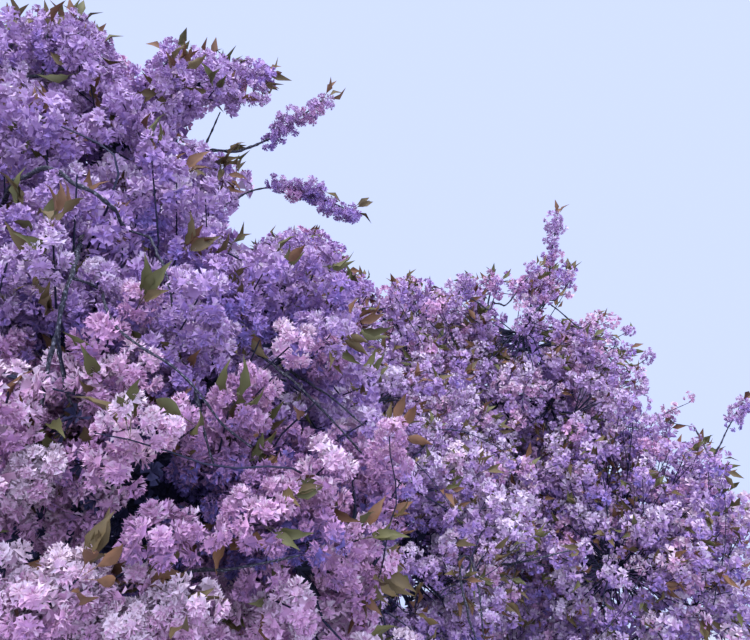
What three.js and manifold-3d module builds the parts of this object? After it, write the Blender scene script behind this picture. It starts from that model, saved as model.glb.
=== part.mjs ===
/**
 * A broad old cherry tree in full double bloom, as a scene graph of closed solids.
 *
 * The trunk rises from a flat cut at ground level to a low fork. Boughs leave the fork in three tiers,
 * and each bough ends in one mass of blossom: a stem that branches into twigs, with blossom heads and
 * young leaves fused to them round a smaller dense core.
 *
 * Lengths are in millimetres and angles in degrees. +Z is up, and the origin is the middle of the cut.
 */
import * as THREE from "three";
import { mergeVertices } from "three/addons/utils/BufferGeometryUtils.js";
import Module from "manifold-3d";

const wasm = await Module();
wasm.setup();

const CLEARANCE = 0.3; // the gap left between two solids that meet
const SEED = 2917;

// The trunk: its girth, its lean and the spread of its roots at the ground
const TRUNK = {
  height: 1500,
  groundRadius: 168,
  forkRadius: 138,
  leanX: -60,
  leanY: 55,
  bow: 26,
  flare: 120,
  flareFade: 150,
  roots: 5,
  rootDepth: 0.42,
  crownRings: 3,
  crownRound: 3.4,
  flatBelow: 30,
  sides: 14,
  rings: 11,
};

// The bay is the hollow in the tree's flank. One mass stands in it, and one on each side at these turns from it.
const BAY = { angle: -40, halfWidth: 20, before: 37, after: 32 };

// Tiers of blossom. Half sizes are along the tilted outward axis (depth), across it, and up (rise). A tier drops
// towards -X, and shifts by a share of the top's own offset.
const TIERS = [
  {
    name: "upper",
    count: 5,
    firstAngle: -22,
    reach: 1290,
    height: 4330,
    tilt: 60,
    depth: 830,
    across: 1020,
    rise: 960,
    drop: 0,
    shift: 0.8,
    inBay: 0,
    bayAcross: 1,
    bough: { base: 70, tip: 28, leave: 34, arrive: 74, from: 0.74, step: 0.022 },
  },
  {
    name: "shoulder",
    count: 8,
    reach: 2720,
    height: 3230,
    tilt: 34,
    depth: 960,
    across: 1180,
    rise: 1110,
    drop: 0,
    shift: 0,
    inBay: 1080,
    bayAcross: 0.72,
    bough: { base: 50, tip: 25, leave: 30, arrive: 34, from: 0.17, step: 0.12 },
  },
  {
    name: "skirt",
    count: 9,
    reach: 3340,
    height: 1950,
    tilt: 0,
    depth: 980,
    across: 1250,
    rise: 1120,
    drop: 60,
    shift: 0,
    inBay: 1330,
    bayAcross: 0.86,
    bough: { base: 40, tip: 22, leave: 16, arrive: -10, from: 0.2, step: 0.15 },
  },
];
const TOP = {
  tilt: 90,
  height: 4960,
  offsetX: -430,
  offsetY: 430,
  depth: 640,
  across: 880,
  rise: 880,
  bayAcross: 1,
  bough: { base: 58, tip: 25, leave: 84, arrive: 86, from: 0.86 },
};

// A bough enters its mass this share of the way in from the mass's inner side
const ENTRY = 0.8;
const BOUGH = { sides: 6, stepsPerMetre: 2.7, leastSteps: 4, wander: 0.035, bend: 0.7, collar: 0.35, collarFade: 90 };

// What grows in one mass
const MASS = {
  core: 0.48,
  coreLump: 0.16,
  stemSides: 5,
  stemSteps: 3,
  stemReach: 0.25,
  stemTaper: 0.45,
  twigs: 9,
  candidates: 44,
  leastOutward: -0.22,
  leastOpen: 0.8,
  towardMiddle: 0.3,
  limbsWithin: 1900,
  twigBase: 15,
  twigTip: 8,
  twigSteps: 2,
  twigSides: 3,
  wander: 0.05,
  wall: 12,
  tolerance: 1,
};
const HEAD = { least: 185, most: 245, stretch: 1.22, pulls: [1.25, 1.5, 1.9, 2.4], limbGap: 14 };
const LEAF = { length: 300, width: 112, thickness: 16, sunk: 0.2, every: 3, splay: 0.5, out: 0.8 };

const COLOURS = {
  bark: new THREE.MeshStandardMaterial({ color: "#5b4f50", roughness: 0.86, metalness: 0 }),
  blossom: new THREE.MeshStandardMaterial({ color: "#c79bd0", roughness: 0.7, metalness: 0 }),
};

const GOLDEN_ANGLE = Math.PI * (3 - Math.sqrt(5));
const UP = new THREE.Vector3(0, 0, 1);
const radians = THREE.MathUtils.degToRad;

/** A repeatable run of numbers from 0 to 1. */
function seeded(seed) {
  let state = seed >>> 0;
  return () => {
    state = (state + 0x6d2b79f5) >>> 0;
    let t = Math.imul(state ^ (state >>> 15), state | 1);
    t ^= t + Math.imul(t ^ (t >>> 7), t | 61);
    return ((t ^ (t >>> 14)) >>> 0) / 4294967296;
  };
}

/** The direction at an angle round the trunk and an elevation above the ground. */
function heading(angle, elevation) {
  const a = radians(angle);
  const e = radians(elevation);
  return new THREE.Vector3(Math.cos(a) * Math.cos(e), Math.sin(a) * Math.cos(e), Math.sin(e));
}

/** The shortest turn from one angle to another, from -180 to 180. */
function turn(from, to) {
  return ((((to - from) % 360) + 540) % 360) - 180;
}

/** Points along a smooth curve that leaves and arrives in given directions and wanders a little. */
function growth(start, leave, end, arrive, steps, wander, rand) {
  const length = start.distanceTo(end);
  const curve = new THREE.CubicBezierCurve3(
    start,
    start.clone().addScaledVector(leave, length / 3),
    end.clone().addScaledVector(arrive, -length / 3),
    end,
  );
  const along = end.clone().sub(start).normalize();
  const side = new THREE.Vector3().crossVectors(along, Math.abs(along.z) > 0.9 ? new THREE.Vector3(1, 0, 0) : UP);
  side.normalize();
  const lift = new THREE.Vector3().crossVectors(side, along);
  const phases = [rand(), rand()].map((r) => r * 2 * Math.PI);
  const points = [];
  for (let k = 0; k <= steps; k++) {
    const t = k / steps;
    const swing = wander * length * Math.sin(Math.PI * t) ** 2;
    points.push(
      curve
        .getPoint(t)
        .addScaledVector(side, swing * Math.sin(2.2 * Math.PI * t + phases[0]))
        .addScaledVector(lift, swing * Math.sin(3.1 * Math.PI * t + phases[1])),
    );
  }
  return points;
}

/** The unit direction of a line of points at each of them. */
function tangents(points) {
  return points.map((p, k) => {
    const before = points[Math.max(0, k - 1)];
    const after = points[Math.min(points.length - 1, k + 1)];
    return after.clone().sub(before).normalize();
  });
}

/** A tapering limb: a cylinder bent along a line of points. radiusAt takes the share of the way along. */
function limbGeometry(points, radiusAt, sides) {
  const steps = points.length - 1;
  const along = tangents(points);
  const across = [];
  let normal = Math.abs(along[0].z) > 0.9 ? new THREE.Vector3(1, 0, 0) : UP.clone();
  for (const direction of along) {
    normal = normal.clone().addScaledVector(direction, -normal.dot(direction)).normalize();
    across.push([normal, new THREE.Vector3().crossVectors(normal, direction)]);
  }
  const geometry = new THREE.CylinderGeometry(1, 1, 1, sides, steps);
  const position = geometry.attributes.position;
  const vertex = new THREE.Vector3();
  for (let i = 0; i < position.count; i++) {
    vertex.fromBufferAttribute(position, i);
    const k = Math.round((vertex.y + 0.5) * steps);
    const radius = radiusAt(k / steps, Math.atan2(vertex.z, vertex.x));
    const [n, b] = across[k];
    const placed = points[k].clone();
    placed.addScaledVector(n, radius * vertex.x).addScaledVector(b, radius * vertex.z);
    position.setXYZ(i, placed.x, placed.y, placed.z);
  }
  return geometry;
}

/** A closed geometry as a solid that can be joined and cut. */
function solidOf(geometry) {
  const bare = new THREE.BufferGeometry();
  bare.setAttribute("position", geometry.attributes.position.clone());
  if (geometry.index) bare.setIndex(geometry.index.clone());
  const merged = mergeVertices(bare, 1e-3);
  const triVerts = new Uint32Array(merged.index.array);
  const made = new wasm.Manifold(
    new wasm.Mesh({ numProp: 3, vertProperties: merged.attributes.position.array, triVerts }),
  );
  if (made.volume() > 0) return made;
  for (let i = 0; i < triVerts.length; i += 3) {
    [triVerts[i + 1], triVerts[i + 2]] = [triVerts[i + 2], triVerts[i + 1]];
  }
  return new wasm.Manifold(
    new wasm.Mesh({ numProp: 3, vertProperties: merged.attributes.position.array, triVerts }),
  );
}

/** The largest body of a solid, with loose scrap and edges that its shape doesn't need left out. */
function mainBody(solid, tolerance) {
  const bodies = solid.asOriginal().simplify(tolerance).decompose();
  return bodies.reduce((best, body) => (body.volume() > best.volume() ? body : best));
}

/** A solid as a named mesh. */
function meshOf(name, solid, material) {
  const made = solid.getMesh();
  const geometry = new THREE.BufferGeometry();
  const position = new Float32Array(made.numVert * 3);
  for (let i = 0; i < made.numVert; i++) {
    position.set(made.vertProperties.subarray(i * made.numProp, i * made.numProp + 3), i * 3);
  }
  geometry.setAttribute("position", new THREE.BufferAttribute(position, 3));
  geometry.setIndex(new THREE.BufferAttribute(made.triVerts, 1));
  geometry.computeVertexNormals();
  const mesh = new THREE.Mesh(geometry, material);
  mesh.name = name;
  return mesh;
}

/** The middle of the trunk at a height: it leans, with a slight bow. */
function trunkAxis(z) {
  const t = z / TRUNK.height;
  const bow = TRUNK.bow * Math.sin(Math.PI * t);
  return new THREE.Vector3(TRUNK.leanX * t * t + bow, TRUNK.leanY * t * t - bow, z);
}

/** The trunk from its flared foot to the rounded head of the fork. */
function trunkSolid(extra) {
  const points = [];
  for (let k = 0; k <= TRUNK.rings; k++) {
    const share = k / TRUNK.rings;
    points.push(trunkAxis(TRUNK.height * share ** 1.25));
  }
  const levels = points.map((p) => p.z / TRUNK.height);
  const radiusAt = (share, angle) => {
    const t = levels[Math.round(share * TRUNK.rings)];
    const fade = Math.exp((-t * TRUNK.height) / TRUNK.flareFade);
    const lobes = 1 + TRUNK.rootDepth * Math.cos(TRUNK.roots * angle + 0.6);
    const shaft = TRUNK.groundRadius + (TRUNK.forkRadius - TRUNK.groundRadius) * t;
    const last = Math.round((1 - share) * TRUNK.rings);
    const round = last < TRUNK.crownRings ? Math.sqrt(1 - ((TRUNK.crownRings - last) / TRUNK.crownRound) ** 2) : 1;
    return (shaft + TRUNK.flare * fade * lobes) * round + extra;
  };
  const raised = points.map((p, k) => (k === TRUNK.rings ? p.clone().setZ(p.z + extra) : p));
  const geometry = limbGeometry(raised, radiusAt, TRUNK.sides);
  const position = geometry.attributes.position;
  for (let i = 0; i < position.count; i++) {
    if (position.getZ(i) < TRUNK.flatBelow) position.setZ(i, 0);
  }
  return solidOf(geometry);
}

/** How wide a bough is along its length: a collar where it leaves, then an even taper. */
function boughRadius(bough, length, extra) {
  return (t) => {
    const collar = 1 + BOUGH.collar * Math.exp((-t * length) / BOUGH.collarFade);
    return (bough.tip + (bough.base - bough.tip) * (1 - t) ** 0.85) * collar + extra;
  };
}

/** The angles of a tier's masses: three stand closer round the bay, and the rest share what is left. */
function tierAngles(tier) {
  if (!tier.inBay) return Array.from({ length: tier.count }, (_, k) => tier.firstAngle + (360 / tier.count) * k);
  const rest = (360 - BAY.before - BAY.after) / (tier.count - 2);
  return Array.from({ length: tier.count }, (_, k) => {
    if (k < 2) return BAY.angle - BAY.before * (1 - k);
    return BAY.angle + BAY.after + rest * (k - 2);
  });
}

/** Where each mass sits, and the three axes of its space. */
function placeMasses() {
  const masses = [];
  const lay = (name, tier, angle, centre, bay) => {
    const outward = heading(angle, tier.tilt);
    const sideways = heading(angle + 90, 0);
    const upward = new THREE.Vector3().crossVectors(outward, sideways);
    masses.push({
      name,
      tier,
      angle,
      centre,
      axes: [outward, sideways, upward],
      halves: [tier.depth, tier.across * (1 - (1 - tier.bayAcross) * bay), tier.rise],
      entry: centre.clone().addScaledVector(outward, -ENTRY * tier.depth),
    });
  };
  for (const tier of TIERS) {
    tierAngles(tier).forEach((angle, k) => {
      const bay = Math.exp(-((turn(BAY.angle, angle) / BAY.halfWidth) ** 2));
      const out = heading(angle, 0).multiplyScalar(tier.reach - tier.inBay * bay);
      const centre = out.add(
        new THREE.Vector3(
          TOP.offsetX * tier.shift,
          TOP.offsetY * tier.shift,
          tier.height + tier.drop * Math.cos(radians(angle)),
        ),
      );
      const inBay = k < 3 ? 1 : 0;
      lay(`${tier.name}_blossom_${k + 1}`, tier, angle, centre, inBay);
    });
  }
  lay("top_blossom", TOP, 0, new THREE.Vector3(TOP.offsetX, TOP.offsetY, TOP.height), 0);
  masses.forEach((mass, i) => {
    mass.seed = SEED + 101 * i;
    mass.walls = masses
      .filter((other) => other !== mass)
      .map((other) => {
        const normal = other.centre.clone().sub(mass.centre).normalize();
        const middle = other.centre.clone().add(mass.centre).multiplyScalar(0.5);
        return { normal, offset: middle.dot(normal) };
      });
  });
  return masses;
}

/** Whether a point lies in a mass's own space, this far inside the walls to its neighbours. */
function inSpace(mass, point, gap) {
  const from = point.clone().sub(mass.centre);
  const round = mass.axes.reduce((sum, axis, k) => sum + (from.dot(axis) / mass.halves[k]) ** 2, 0);
  return round <= 1.0001 && mass.walls.every((wall) => wall.normal.dot(point) - wall.offset < -gap);
}

/** The way in from the middle of a mass as far as its space goes, at most by a share of its half sizes. */
function skinPoint(mass, direction, share) {
  const scaled = Math.sqrt(
    mass.axes.reduce((sum, axis, k) => sum + (direction.dot(axis) / mass.halves[k]) ** 2, 0),
  );
  let reach = share / scaled;
  for (const wall of mass.walls) {
    const speed = wall.normal.dot(direction);
    if (speed <= 0) continue;
    reach = Math.min(reach, (wall.offset - MASS.wall - wall.normal.dot(mass.centre)) / speed);
  }
  return mass.centre.clone().addScaledVector(direction, reach);
}

/** The boughs: each leaves the trunk or the bough inside it, and ends where it enters its mass. */
function placeBoughs(masses) {
  const boughs = new Map();
  const used = new Map();
  const nearest = (angle, tierName) => {
    const hosts = masses.filter((mass) => mass.tier.name === tierName);
    return hosts.reduce((best, host) =>
      Math.abs(turn(angle, host.angle)) < Math.abs(turn(angle, best.angle)) ? host : best,
    );
  };
  for (const mass of masses) {
    const { bough } = mass.tier;
    const rand = seeded(mass.seed + 7);
    const inner = { shoulder: "upper", skirt: "shoulder" }[mass.tier.name];
    let start;
    let host = "trunk";
    if (inner) {
      const carrier = nearest(mass.angle, inner);
      const taken = used.get(carrier.name) ?? 0;
      used.set(carrier.name, taken + 1);
      const line = boughs.get(carrier.name).points;
      const place = (bough.from + bough.step * taken) * (line.length - 1);
      const k = Math.floor(place);
      start = line[k].clone().lerp(line[k + 1], place - k);
      host = carrier.name;
    } else if (mass.tier === TOP) {
      start = trunkAxis(TRUNK.height * bough.from);
    } else {
      const taken = used.get(host) ?? 0;
      used.set(host, taken + 1);
      start = trunkAxis(TRUNK.height * (bough.from + bough.step * ((taken * 2) % mass.tier.count)));
    }
    const toward = mass.entry.clone().sub(start);
    const angle = THREE.MathUtils.radToDeg(Math.atan2(toward.y, toward.x));
    const leave = heading(angle, bough.leave);
    const arrive = mass.axes[0].clone().lerp(heading(mass.angle, bough.arrive), BOUGH.bend).normalize();
    const length = toward.length();
    const steps = Math.max(BOUGH.leastSteps, Math.round((length / 1000) * BOUGH.stepsPerMetre));
    const points = growth(start, leave, mass.entry, arrive, steps, BOUGH.wander, rand);
    boughs.set(mass.name, { name: mass.name.replace("blossom", "bough"), mass, bough, host, points, length });
  }
  return boughs;
}

/** The distance from a point to the nearest limb's surface. */
function limbDistance(limbs, point) {
  let least = Infinity;
  const span = new THREE.Vector3();
  const from = new THREE.Vector3();
  for (const limb of limbs) {
    for (let k = 0; k + 1 < limb.points.length; k++) {
      span.subVectors(limb.points[k + 1], limb.points[k]);
      from.subVectors(point, limb.points[k]);
      const t = THREE.MathUtils.clamp(from.dot(span) / span.lengthSq(), 0, 1);
      const radius = limb.radiusAt((k + t) / (limb.points.length - 1));
      least = Math.min(least, from.addScaledVector(span, -t).length() - radius);
    }
  }
  return least;
}

/** A dense core that the heads stand out of, pulled in where it would leave the mass's space. */
function coreGeometry(mass, rand) {
  const geometry = new THREE.IcosahedronGeometry(1, 1);
  const merged = mergeVertices(stripped(geometry), 1e-3);
  const position = merged.attributes.position;
  const direction = new THREE.Vector3();
  for (let i = 0; i < position.count; i++) {
    direction.fromBufferAttribute(position, i).normalize();
    const share = MASS.core * (1 + MASS.coreLump * (2 * rand() - 1));
    const skin = skinPoint(mass, direction, share);
    position.setXYZ(i, skin.x, skin.y, skin.z);
  }
  return merged;
}

/** A geometry with its places only. */
function stripped(geometry) {
  geometry.deleteAttribute("normal");
  geometry.deleteAttribute("uv");
  return geometry;
}

/** One blossom head: a rough ball of flowers, stretched along its twig. */
function headGeometry(centre, direction, radius, rand) {
  const geometry = new THREE.IcosahedronGeometry(radius, 0);
  geometry.rotateX(rand() * Math.PI).rotateZ(rand() * Math.PI);
  geometry.scale(1, 1, HEAD.stretch);
  const spin = new THREE.Quaternion().setFromUnitVectors(UP, direction);
  return geometry.applyQuaternion(spin).translate(centre.x, centre.y, centre.z);
}

/** One young leaf as a blade of eight faces, from its root in the direction that it points. */
function leafGeometry(root, direction, rand) {
  const geometry = new THREE.OctahedronGeometry(1, 0);
  geometry.scale(LEAF.width / 2, LEAF.thickness / 2, LEAF.length / 2);
  geometry.translate(0, 0, LEAF.length * (0.5 - LEAF.sunk));
  geometry.rotateZ(rand() * Math.PI);
  const spin = new THREE.Quaternion().setFromUnitVectors(UP, direction);
  return geometry.applyQuaternion(spin).translate(root.x, root.y, root.z);
}

/** Every vertex of a geometry keeps to the mass's space and this far from all limbs. */
function keepsClear(mass, limbs, geometry, gap) {
  const position = geometry.attributes.position;
  const vertex = new THREE.Vector3();
  for (let i = 0; i < position.count; i++) {
    vertex.fromBufferAttribute(position, i);
    if (!inSpace(mass, vertex, MASS.wall - 1)) return false;
    if (limbs.length && limbDistance(limbs, vertex) < gap) return false;
  }
  return true;
}

/** The directions in which a mass shows: spread evenly, without those that face the tree's inside. */
function openDirections(mass) {
  const open = [];
  for (let k = 0; k < MASS.candidates; k++) {
    const along = 1 - (2 * (k + 0.5)) / MASS.candidates;
    const round = Math.sqrt(1 - along * along);
    const angle = k * GOLDEN_ANGLE + mass.seed;
    const direction = mass.axes[0]
      .clone()
      .multiplyScalar(along)
      .addScaledVector(mass.axes[1], round * Math.cos(angle))
      .addScaledVector(mass.axes[2], round * Math.sin(angle));
    const skin = skinPoint(mass, direction, 0.97);
    const cut = skin.distanceTo(mass.centre) < MASS.leastOpen * skinlessReach(mass, direction);
    if (along > MASS.leastOutward && !cut) open.push(direction);
  }
  return open;
}

/** How far a mass's rounded space reaches in a direction, with no neighbour in the way. */
function skinlessReach(mass, direction) {
  return 1 / Math.sqrt(mass.axes.reduce((sum, axis, k) => sum + (direction.dot(axis) / mass.halves[k]) ** 2, 0));
}

/** The solid of one mass: stem, core, twigs, heads and leaves, fused, and cut clear of its bough. */
function massSolid(mass, limbs, boughCutter) {
  const rand = seeded(mass.seed);
  const near = limbs.filter((limb) => limb.points.some((p) => p.distanceTo(mass.centre) < MASS.limbsWithin));
  const stemStart = mass.entry.clone().addScaledVector(mass.arrive, CLEARANCE);
  const stemEnd = mass.centre.clone().addScaledVector(mass.axes[0], mass.halves[0] * MASS.stemReach);
  const stem = growth(stemStart, mass.arrive, stemEnd, mass.axes[0], MASS.stemSteps, 0, rand);
  const tip = mass.tier.bough.tip;
  const parts = [
    solidOf(limbGeometry(stem, (t) => tip * (1 - MASS.stemTaper * t), MASS.stemSides)),
    solidOf(coreGeometry(mass, rand)),
  ];
  const open = openDirections(mass);
  const grow = (geometry) => {
    if (!keepsClear(mass, near, geometry, HEAD.limbGap)) return false;
    parts.push(solidOf(geometry));
    return true;
  };
  for (let k = 0; k < MASS.twigs; k++) {
    const direction = open[Math.floor(((k + 0.5) * open.length) / MASS.twigs)];
    const radius = HEAD.least + (HEAD.most - HEAD.least) * rand();
    const reach = skinPoint(mass, direction, 0.99).distanceTo(mass.centre);
    const place = (pull) => mass.centre.clone().addScaledVector(direction, reach - radius * pull);
    const pull = HEAD.pulls.find((p) => grow(headGeometry(place(p), direction, radius, rand)));
    if (!pull) continue;
    const end = place(pull);
    const root = stem[1 + (k % MASS.stemSteps)].clone().lerp(mass.centre, MASS.towardMiddle);
    const leave = end.clone().sub(root).normalize();
    const points = growth(root, leave, end, direction, MASS.twigSteps, MASS.wander, rand);
    const taper = (t) => MASS.twigBase + (MASS.twigTip - MASS.twigBase) * t;
    parts.push(solidOf(limbGeometry(points, taper, MASS.twigSides)));
    const bearing = GOLDEN_ANGLE * k;
    const beside = new THREE.Vector3()
      .addScaledVector(mass.axes[1], Math.cos(bearing))
      .addScaledVector(mass.axes[2], Math.sin(bearing));
    beside.addScaledVector(direction, -beside.dot(direction)).normalize();
    const point = direction.clone().lerp(beside, LEAF.splay).normalize();
    const leafRoot = end.clone().addScaledVector(point, radius * LEAF.out);
    if (k % LEAF.every === 0) grow(leafGeometry(leafRoot, point, rand));
  }
  const fused = mainBody(wasm.Manifold.union(parts), MASS.tolerance);
  return mainBody(fused.subtract(boughCutter), 0.05);
}

/** Builds the whole tree. */
function buildTree() {
  const tree = new THREE.Group();
  tree.name = "cherry_tree";
  const trunk = trunkSolid(0);
  tree.add(meshOf("trunk", trunk, COLOURS.bark));

  const masses = placeMasses();
  const boughs = placeBoughs(masses);
  const cutters = new Map([["trunk", trunkSolid(CLEARANCE)]]);
  for (const [key, limb] of boughs) {
    const along = tangents(limb.points);
    limb.mass.arrive = along[along.length - 1];
    limb.radiusAt = boughRadius(limb.bough, limb.length, 0);
    const longer = [...limb.points];
    longer.push(longer.pop().clone().addScaledVector(limb.mass.arrive, CLEARANCE));
    const wider = boughRadius(limb.bough, limb.length, CLEARANCE);
    cutters.set(key, solidOf(limbGeometry(longer, wider, BOUGH.sides)));
    let solid = solidOf(limbGeometry(limb.points, limb.radiusAt, BOUGH.sides));
    solid = solid.subtract(cutters.get(limb.host));
    for (const [other, earlier] of boughs) {
      if (other === key) break;
      if (earlier.host === limb.host) solid = solid.subtract(cutters.get(other));
    }
    tree.add(meshOf(limb.name, mainBody(solid, 0.05), COLOURS.bark));
  }

  const limbs = [...boughs.values()];
  for (const mass of masses) {
    tree.add(meshOf(mass.name, massSolid(mass, limbs, cutters.get(mass.name)), COLOURS.blossom));
  }
  return tree;
}

export default buildTree();
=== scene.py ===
"""A broad old cherry tree in full double bloom.

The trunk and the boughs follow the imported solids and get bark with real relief. Each packed mass of
blossom is grown again from the end of its bough, within the same reach: branches, twigs, double flowers
and young leaves. Flowers have no stalks of their own. Lengths are in metres and angles in degrees. +Z is
up, and the origin is the middle of the flat cut under the trunk.
"""

from __future__ import annotations

import logging
import math
from dataclasses import dataclass, field
from enum import Enum

import bpy
import numpy as np
from mathutils import Matrix, Vector, noise

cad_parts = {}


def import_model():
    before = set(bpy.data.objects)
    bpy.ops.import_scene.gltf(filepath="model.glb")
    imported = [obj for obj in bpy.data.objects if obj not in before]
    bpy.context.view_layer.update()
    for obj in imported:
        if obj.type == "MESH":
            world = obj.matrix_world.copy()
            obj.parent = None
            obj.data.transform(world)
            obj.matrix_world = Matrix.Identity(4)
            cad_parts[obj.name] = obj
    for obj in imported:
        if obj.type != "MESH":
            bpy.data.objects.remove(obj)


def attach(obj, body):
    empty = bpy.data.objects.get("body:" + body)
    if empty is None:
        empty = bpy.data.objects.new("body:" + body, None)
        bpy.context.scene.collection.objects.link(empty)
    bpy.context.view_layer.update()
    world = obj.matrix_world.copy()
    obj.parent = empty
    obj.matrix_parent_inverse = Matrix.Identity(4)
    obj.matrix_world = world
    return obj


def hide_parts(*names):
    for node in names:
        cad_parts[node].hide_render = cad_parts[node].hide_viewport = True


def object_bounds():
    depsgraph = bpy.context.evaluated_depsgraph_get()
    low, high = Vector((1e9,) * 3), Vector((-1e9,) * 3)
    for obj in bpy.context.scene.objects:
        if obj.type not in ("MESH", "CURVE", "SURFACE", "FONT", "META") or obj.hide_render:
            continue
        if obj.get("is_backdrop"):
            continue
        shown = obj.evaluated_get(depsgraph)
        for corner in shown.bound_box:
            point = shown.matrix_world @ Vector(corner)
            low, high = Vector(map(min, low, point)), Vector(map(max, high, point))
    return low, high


LOG = logging.getLogger("cherry_tree")
SEED = 2917
GOLDEN_ANGLE = math.pi * (3 - math.sqrt(5))
UP = np.array([0.0, 0.0, 1.0])
BODY = "root"

Form = tuple[np.ndarray, np.ndarray, np.ndarray]
Tubes = list[tuple[np.ndarray, np.ndarray, int]]


class Hue(Enum):
    """The shades of petals, in a cool and a warm run from pale to deep that carries painted light and shade as well
    as the petals' own tones, of dark tufts painted as shade, and of leaves.
    """

    BLUSH = "blush"
    ROSE = "rose"
    ORCHID = "orchid"
    MAUVE = "mauve"
    PLUM = "plum"
    DUSK = "dusk"
    PAINTED_SHADE = "painted_shade"
    PEARL = "pearl"
    PINK = "pink"
    CERISE = "cerise"
    BERRY = "berry"
    CLARET = "claret"
    BRONZE = "bronze"
    COPPER = "copper"
    OLIVE = "olive"


# Each run goes from pale to deep: the paler shades stand partly for painted light, the deeper ones partly for
# painted shade.
COOL = (Hue.BLUSH, Hue.ROSE, Hue.ORCHID, Hue.MAUVE, Hue.PLUM, Hue.DUSK)
WARM = (Hue.PEARL, Hue.PINK, Hue.CERISE, Hue.BERRY, Hue.CLARET, Hue.DUSK)
LEAF_HUES = (Hue.BRONZE, Hue.COPPER, Hue.OLIVE)


class PetalCut(Enum):
    """How a petal is cut: a short scale, the same with a cleft tip, or a wedge from the flower's middle."""

    SCALE = "scale"
    CLEFT = "cleft"
    WEDGE = "wedge"


class SeededRun:
    """The repeatable run of numbers from 0 to 1 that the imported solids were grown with."""

    def __init__(self, seed: int) -> None:
        """Start the run.

        Args:
            seed: A whole number that fixes the run.
        """
        self.state = seed & 0xFFFFFFFF

    def __call__(self) -> float:
        """Give the next number.

        Returns:
            A number from 0 to 1.
        """
        low = 0xFFFFFFFF
        self.state = (self.state + 0x6D2B79F5) & low
        t = ((self.state ^ (self.state >> 15)) * (self.state | 1)) & low
        t ^= (t + ((t ^ (t >> 7)) * (t | 61) & low)) & low
        return ((t ^ (t >> 14)) & low) / 4294967296


def unit(v: np.ndarray) -> np.ndarray:
    """Scale vectors to length 1 along their last axis."""
    return v / np.maximum(np.linalg.norm(v, axis=-1, keepdims=True), 1e-9)


def heading(angle: float, elevation: float) -> np.ndarray:
    """Give the direction at an angle round the trunk and an elevation above the ground."""
    a, e = math.radians(angle), math.radians(elevation)
    return np.array([math.cos(a) * math.cos(e), math.sin(a) * math.cos(e), math.sin(e)])


def turn(start: float, end: float) -> float:
    """Give the shortest turn from one angle to another, from -180 to 180."""
    return ((end - start + 540) % 360) - 180


def reached_along(path: np.ndarray) -> np.ndarray:
    """Give how far along a line each of its points lies."""
    return np.concatenate([[0], np.cumsum(np.linalg.norm(np.diff(path, axis=0), axis=1))])


def points_at(t: np.ndarray | float, reached: np.ndarray, path: np.ndarray) -> np.ndarray:
    """Give the points of a line at places along it, told how far along its own points lie."""
    return np.stack([np.interp(t, reached, path[:, k]) for k in range(3)], -1)


def smooth(path: np.ndarray, times: int = 1) -> None:
    """Even out a line in place and keep its ends."""
    for _ in range(times):
        path[1:-1] = (path[:-2] + 2 * path[1:-1] + path[2:]) / 4


@dataclass(frozen=True)
class BoughSizes:
    """How the boughs of one tier taper, leave their limb and arrive at their mass."""

    base: float
    tip: float
    leave: float
    arrive: float
    start: float = 0.0
    step: float = 0.0


@dataclass(frozen=True)
class TierSizes:
    """One tier of blossom masses round the crown."""

    name: str
    count: int
    reach: float
    height: float
    tilt: float
    halves: tuple[float, float, float]
    bough: BoughSizes
    first_angle: float = 0.0
    drop: float = 0.0
    in_bay: float = 0.0
    bay_across: float = 1.0


@dataclass
class GrowthLine:
    """A smooth line that leaves and arrives in given directions and wanders a little."""

    start: np.ndarray
    leave: np.ndarray
    end: np.ndarray
    arrive: np.ndarray
    wander: float
    phases: tuple[float, float]

    def at(self, t: np.ndarray) -> np.ndarray:
        """Give points along the line.

        Args:
            t: Shares of the way along, from 0 to 1.

        Returns:
            One point for each share.
        """
        span = self.end - self.start
        length = float(np.linalg.norm(span))
        near = self.start + self.leave * length / 3
        far = self.end - self.arrive * length / 3
        s = np.asarray(t)[:, None]
        path = (1 - s) ** 3 * self.start + 3 * (1 - s) ** 2 * s * near
        path = path + 3 * (1 - s) * s**2 * far + s**3 * self.end
        along = span / length
        side = unit(np.cross(along, [1.0, 0, 0] if abs(along[2]) > 0.9 else UP))
        lift = np.cross(side, along)
        swing = self.wander * length * np.sin(np.pi * s) ** 2
        sway = np.sin(2.2 * np.pi * s + self.phases[0]) * side
        sway = sway + np.sin(3.1 * np.pi * s + self.phases[1]) * lift
        return path + swing * sway


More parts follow.
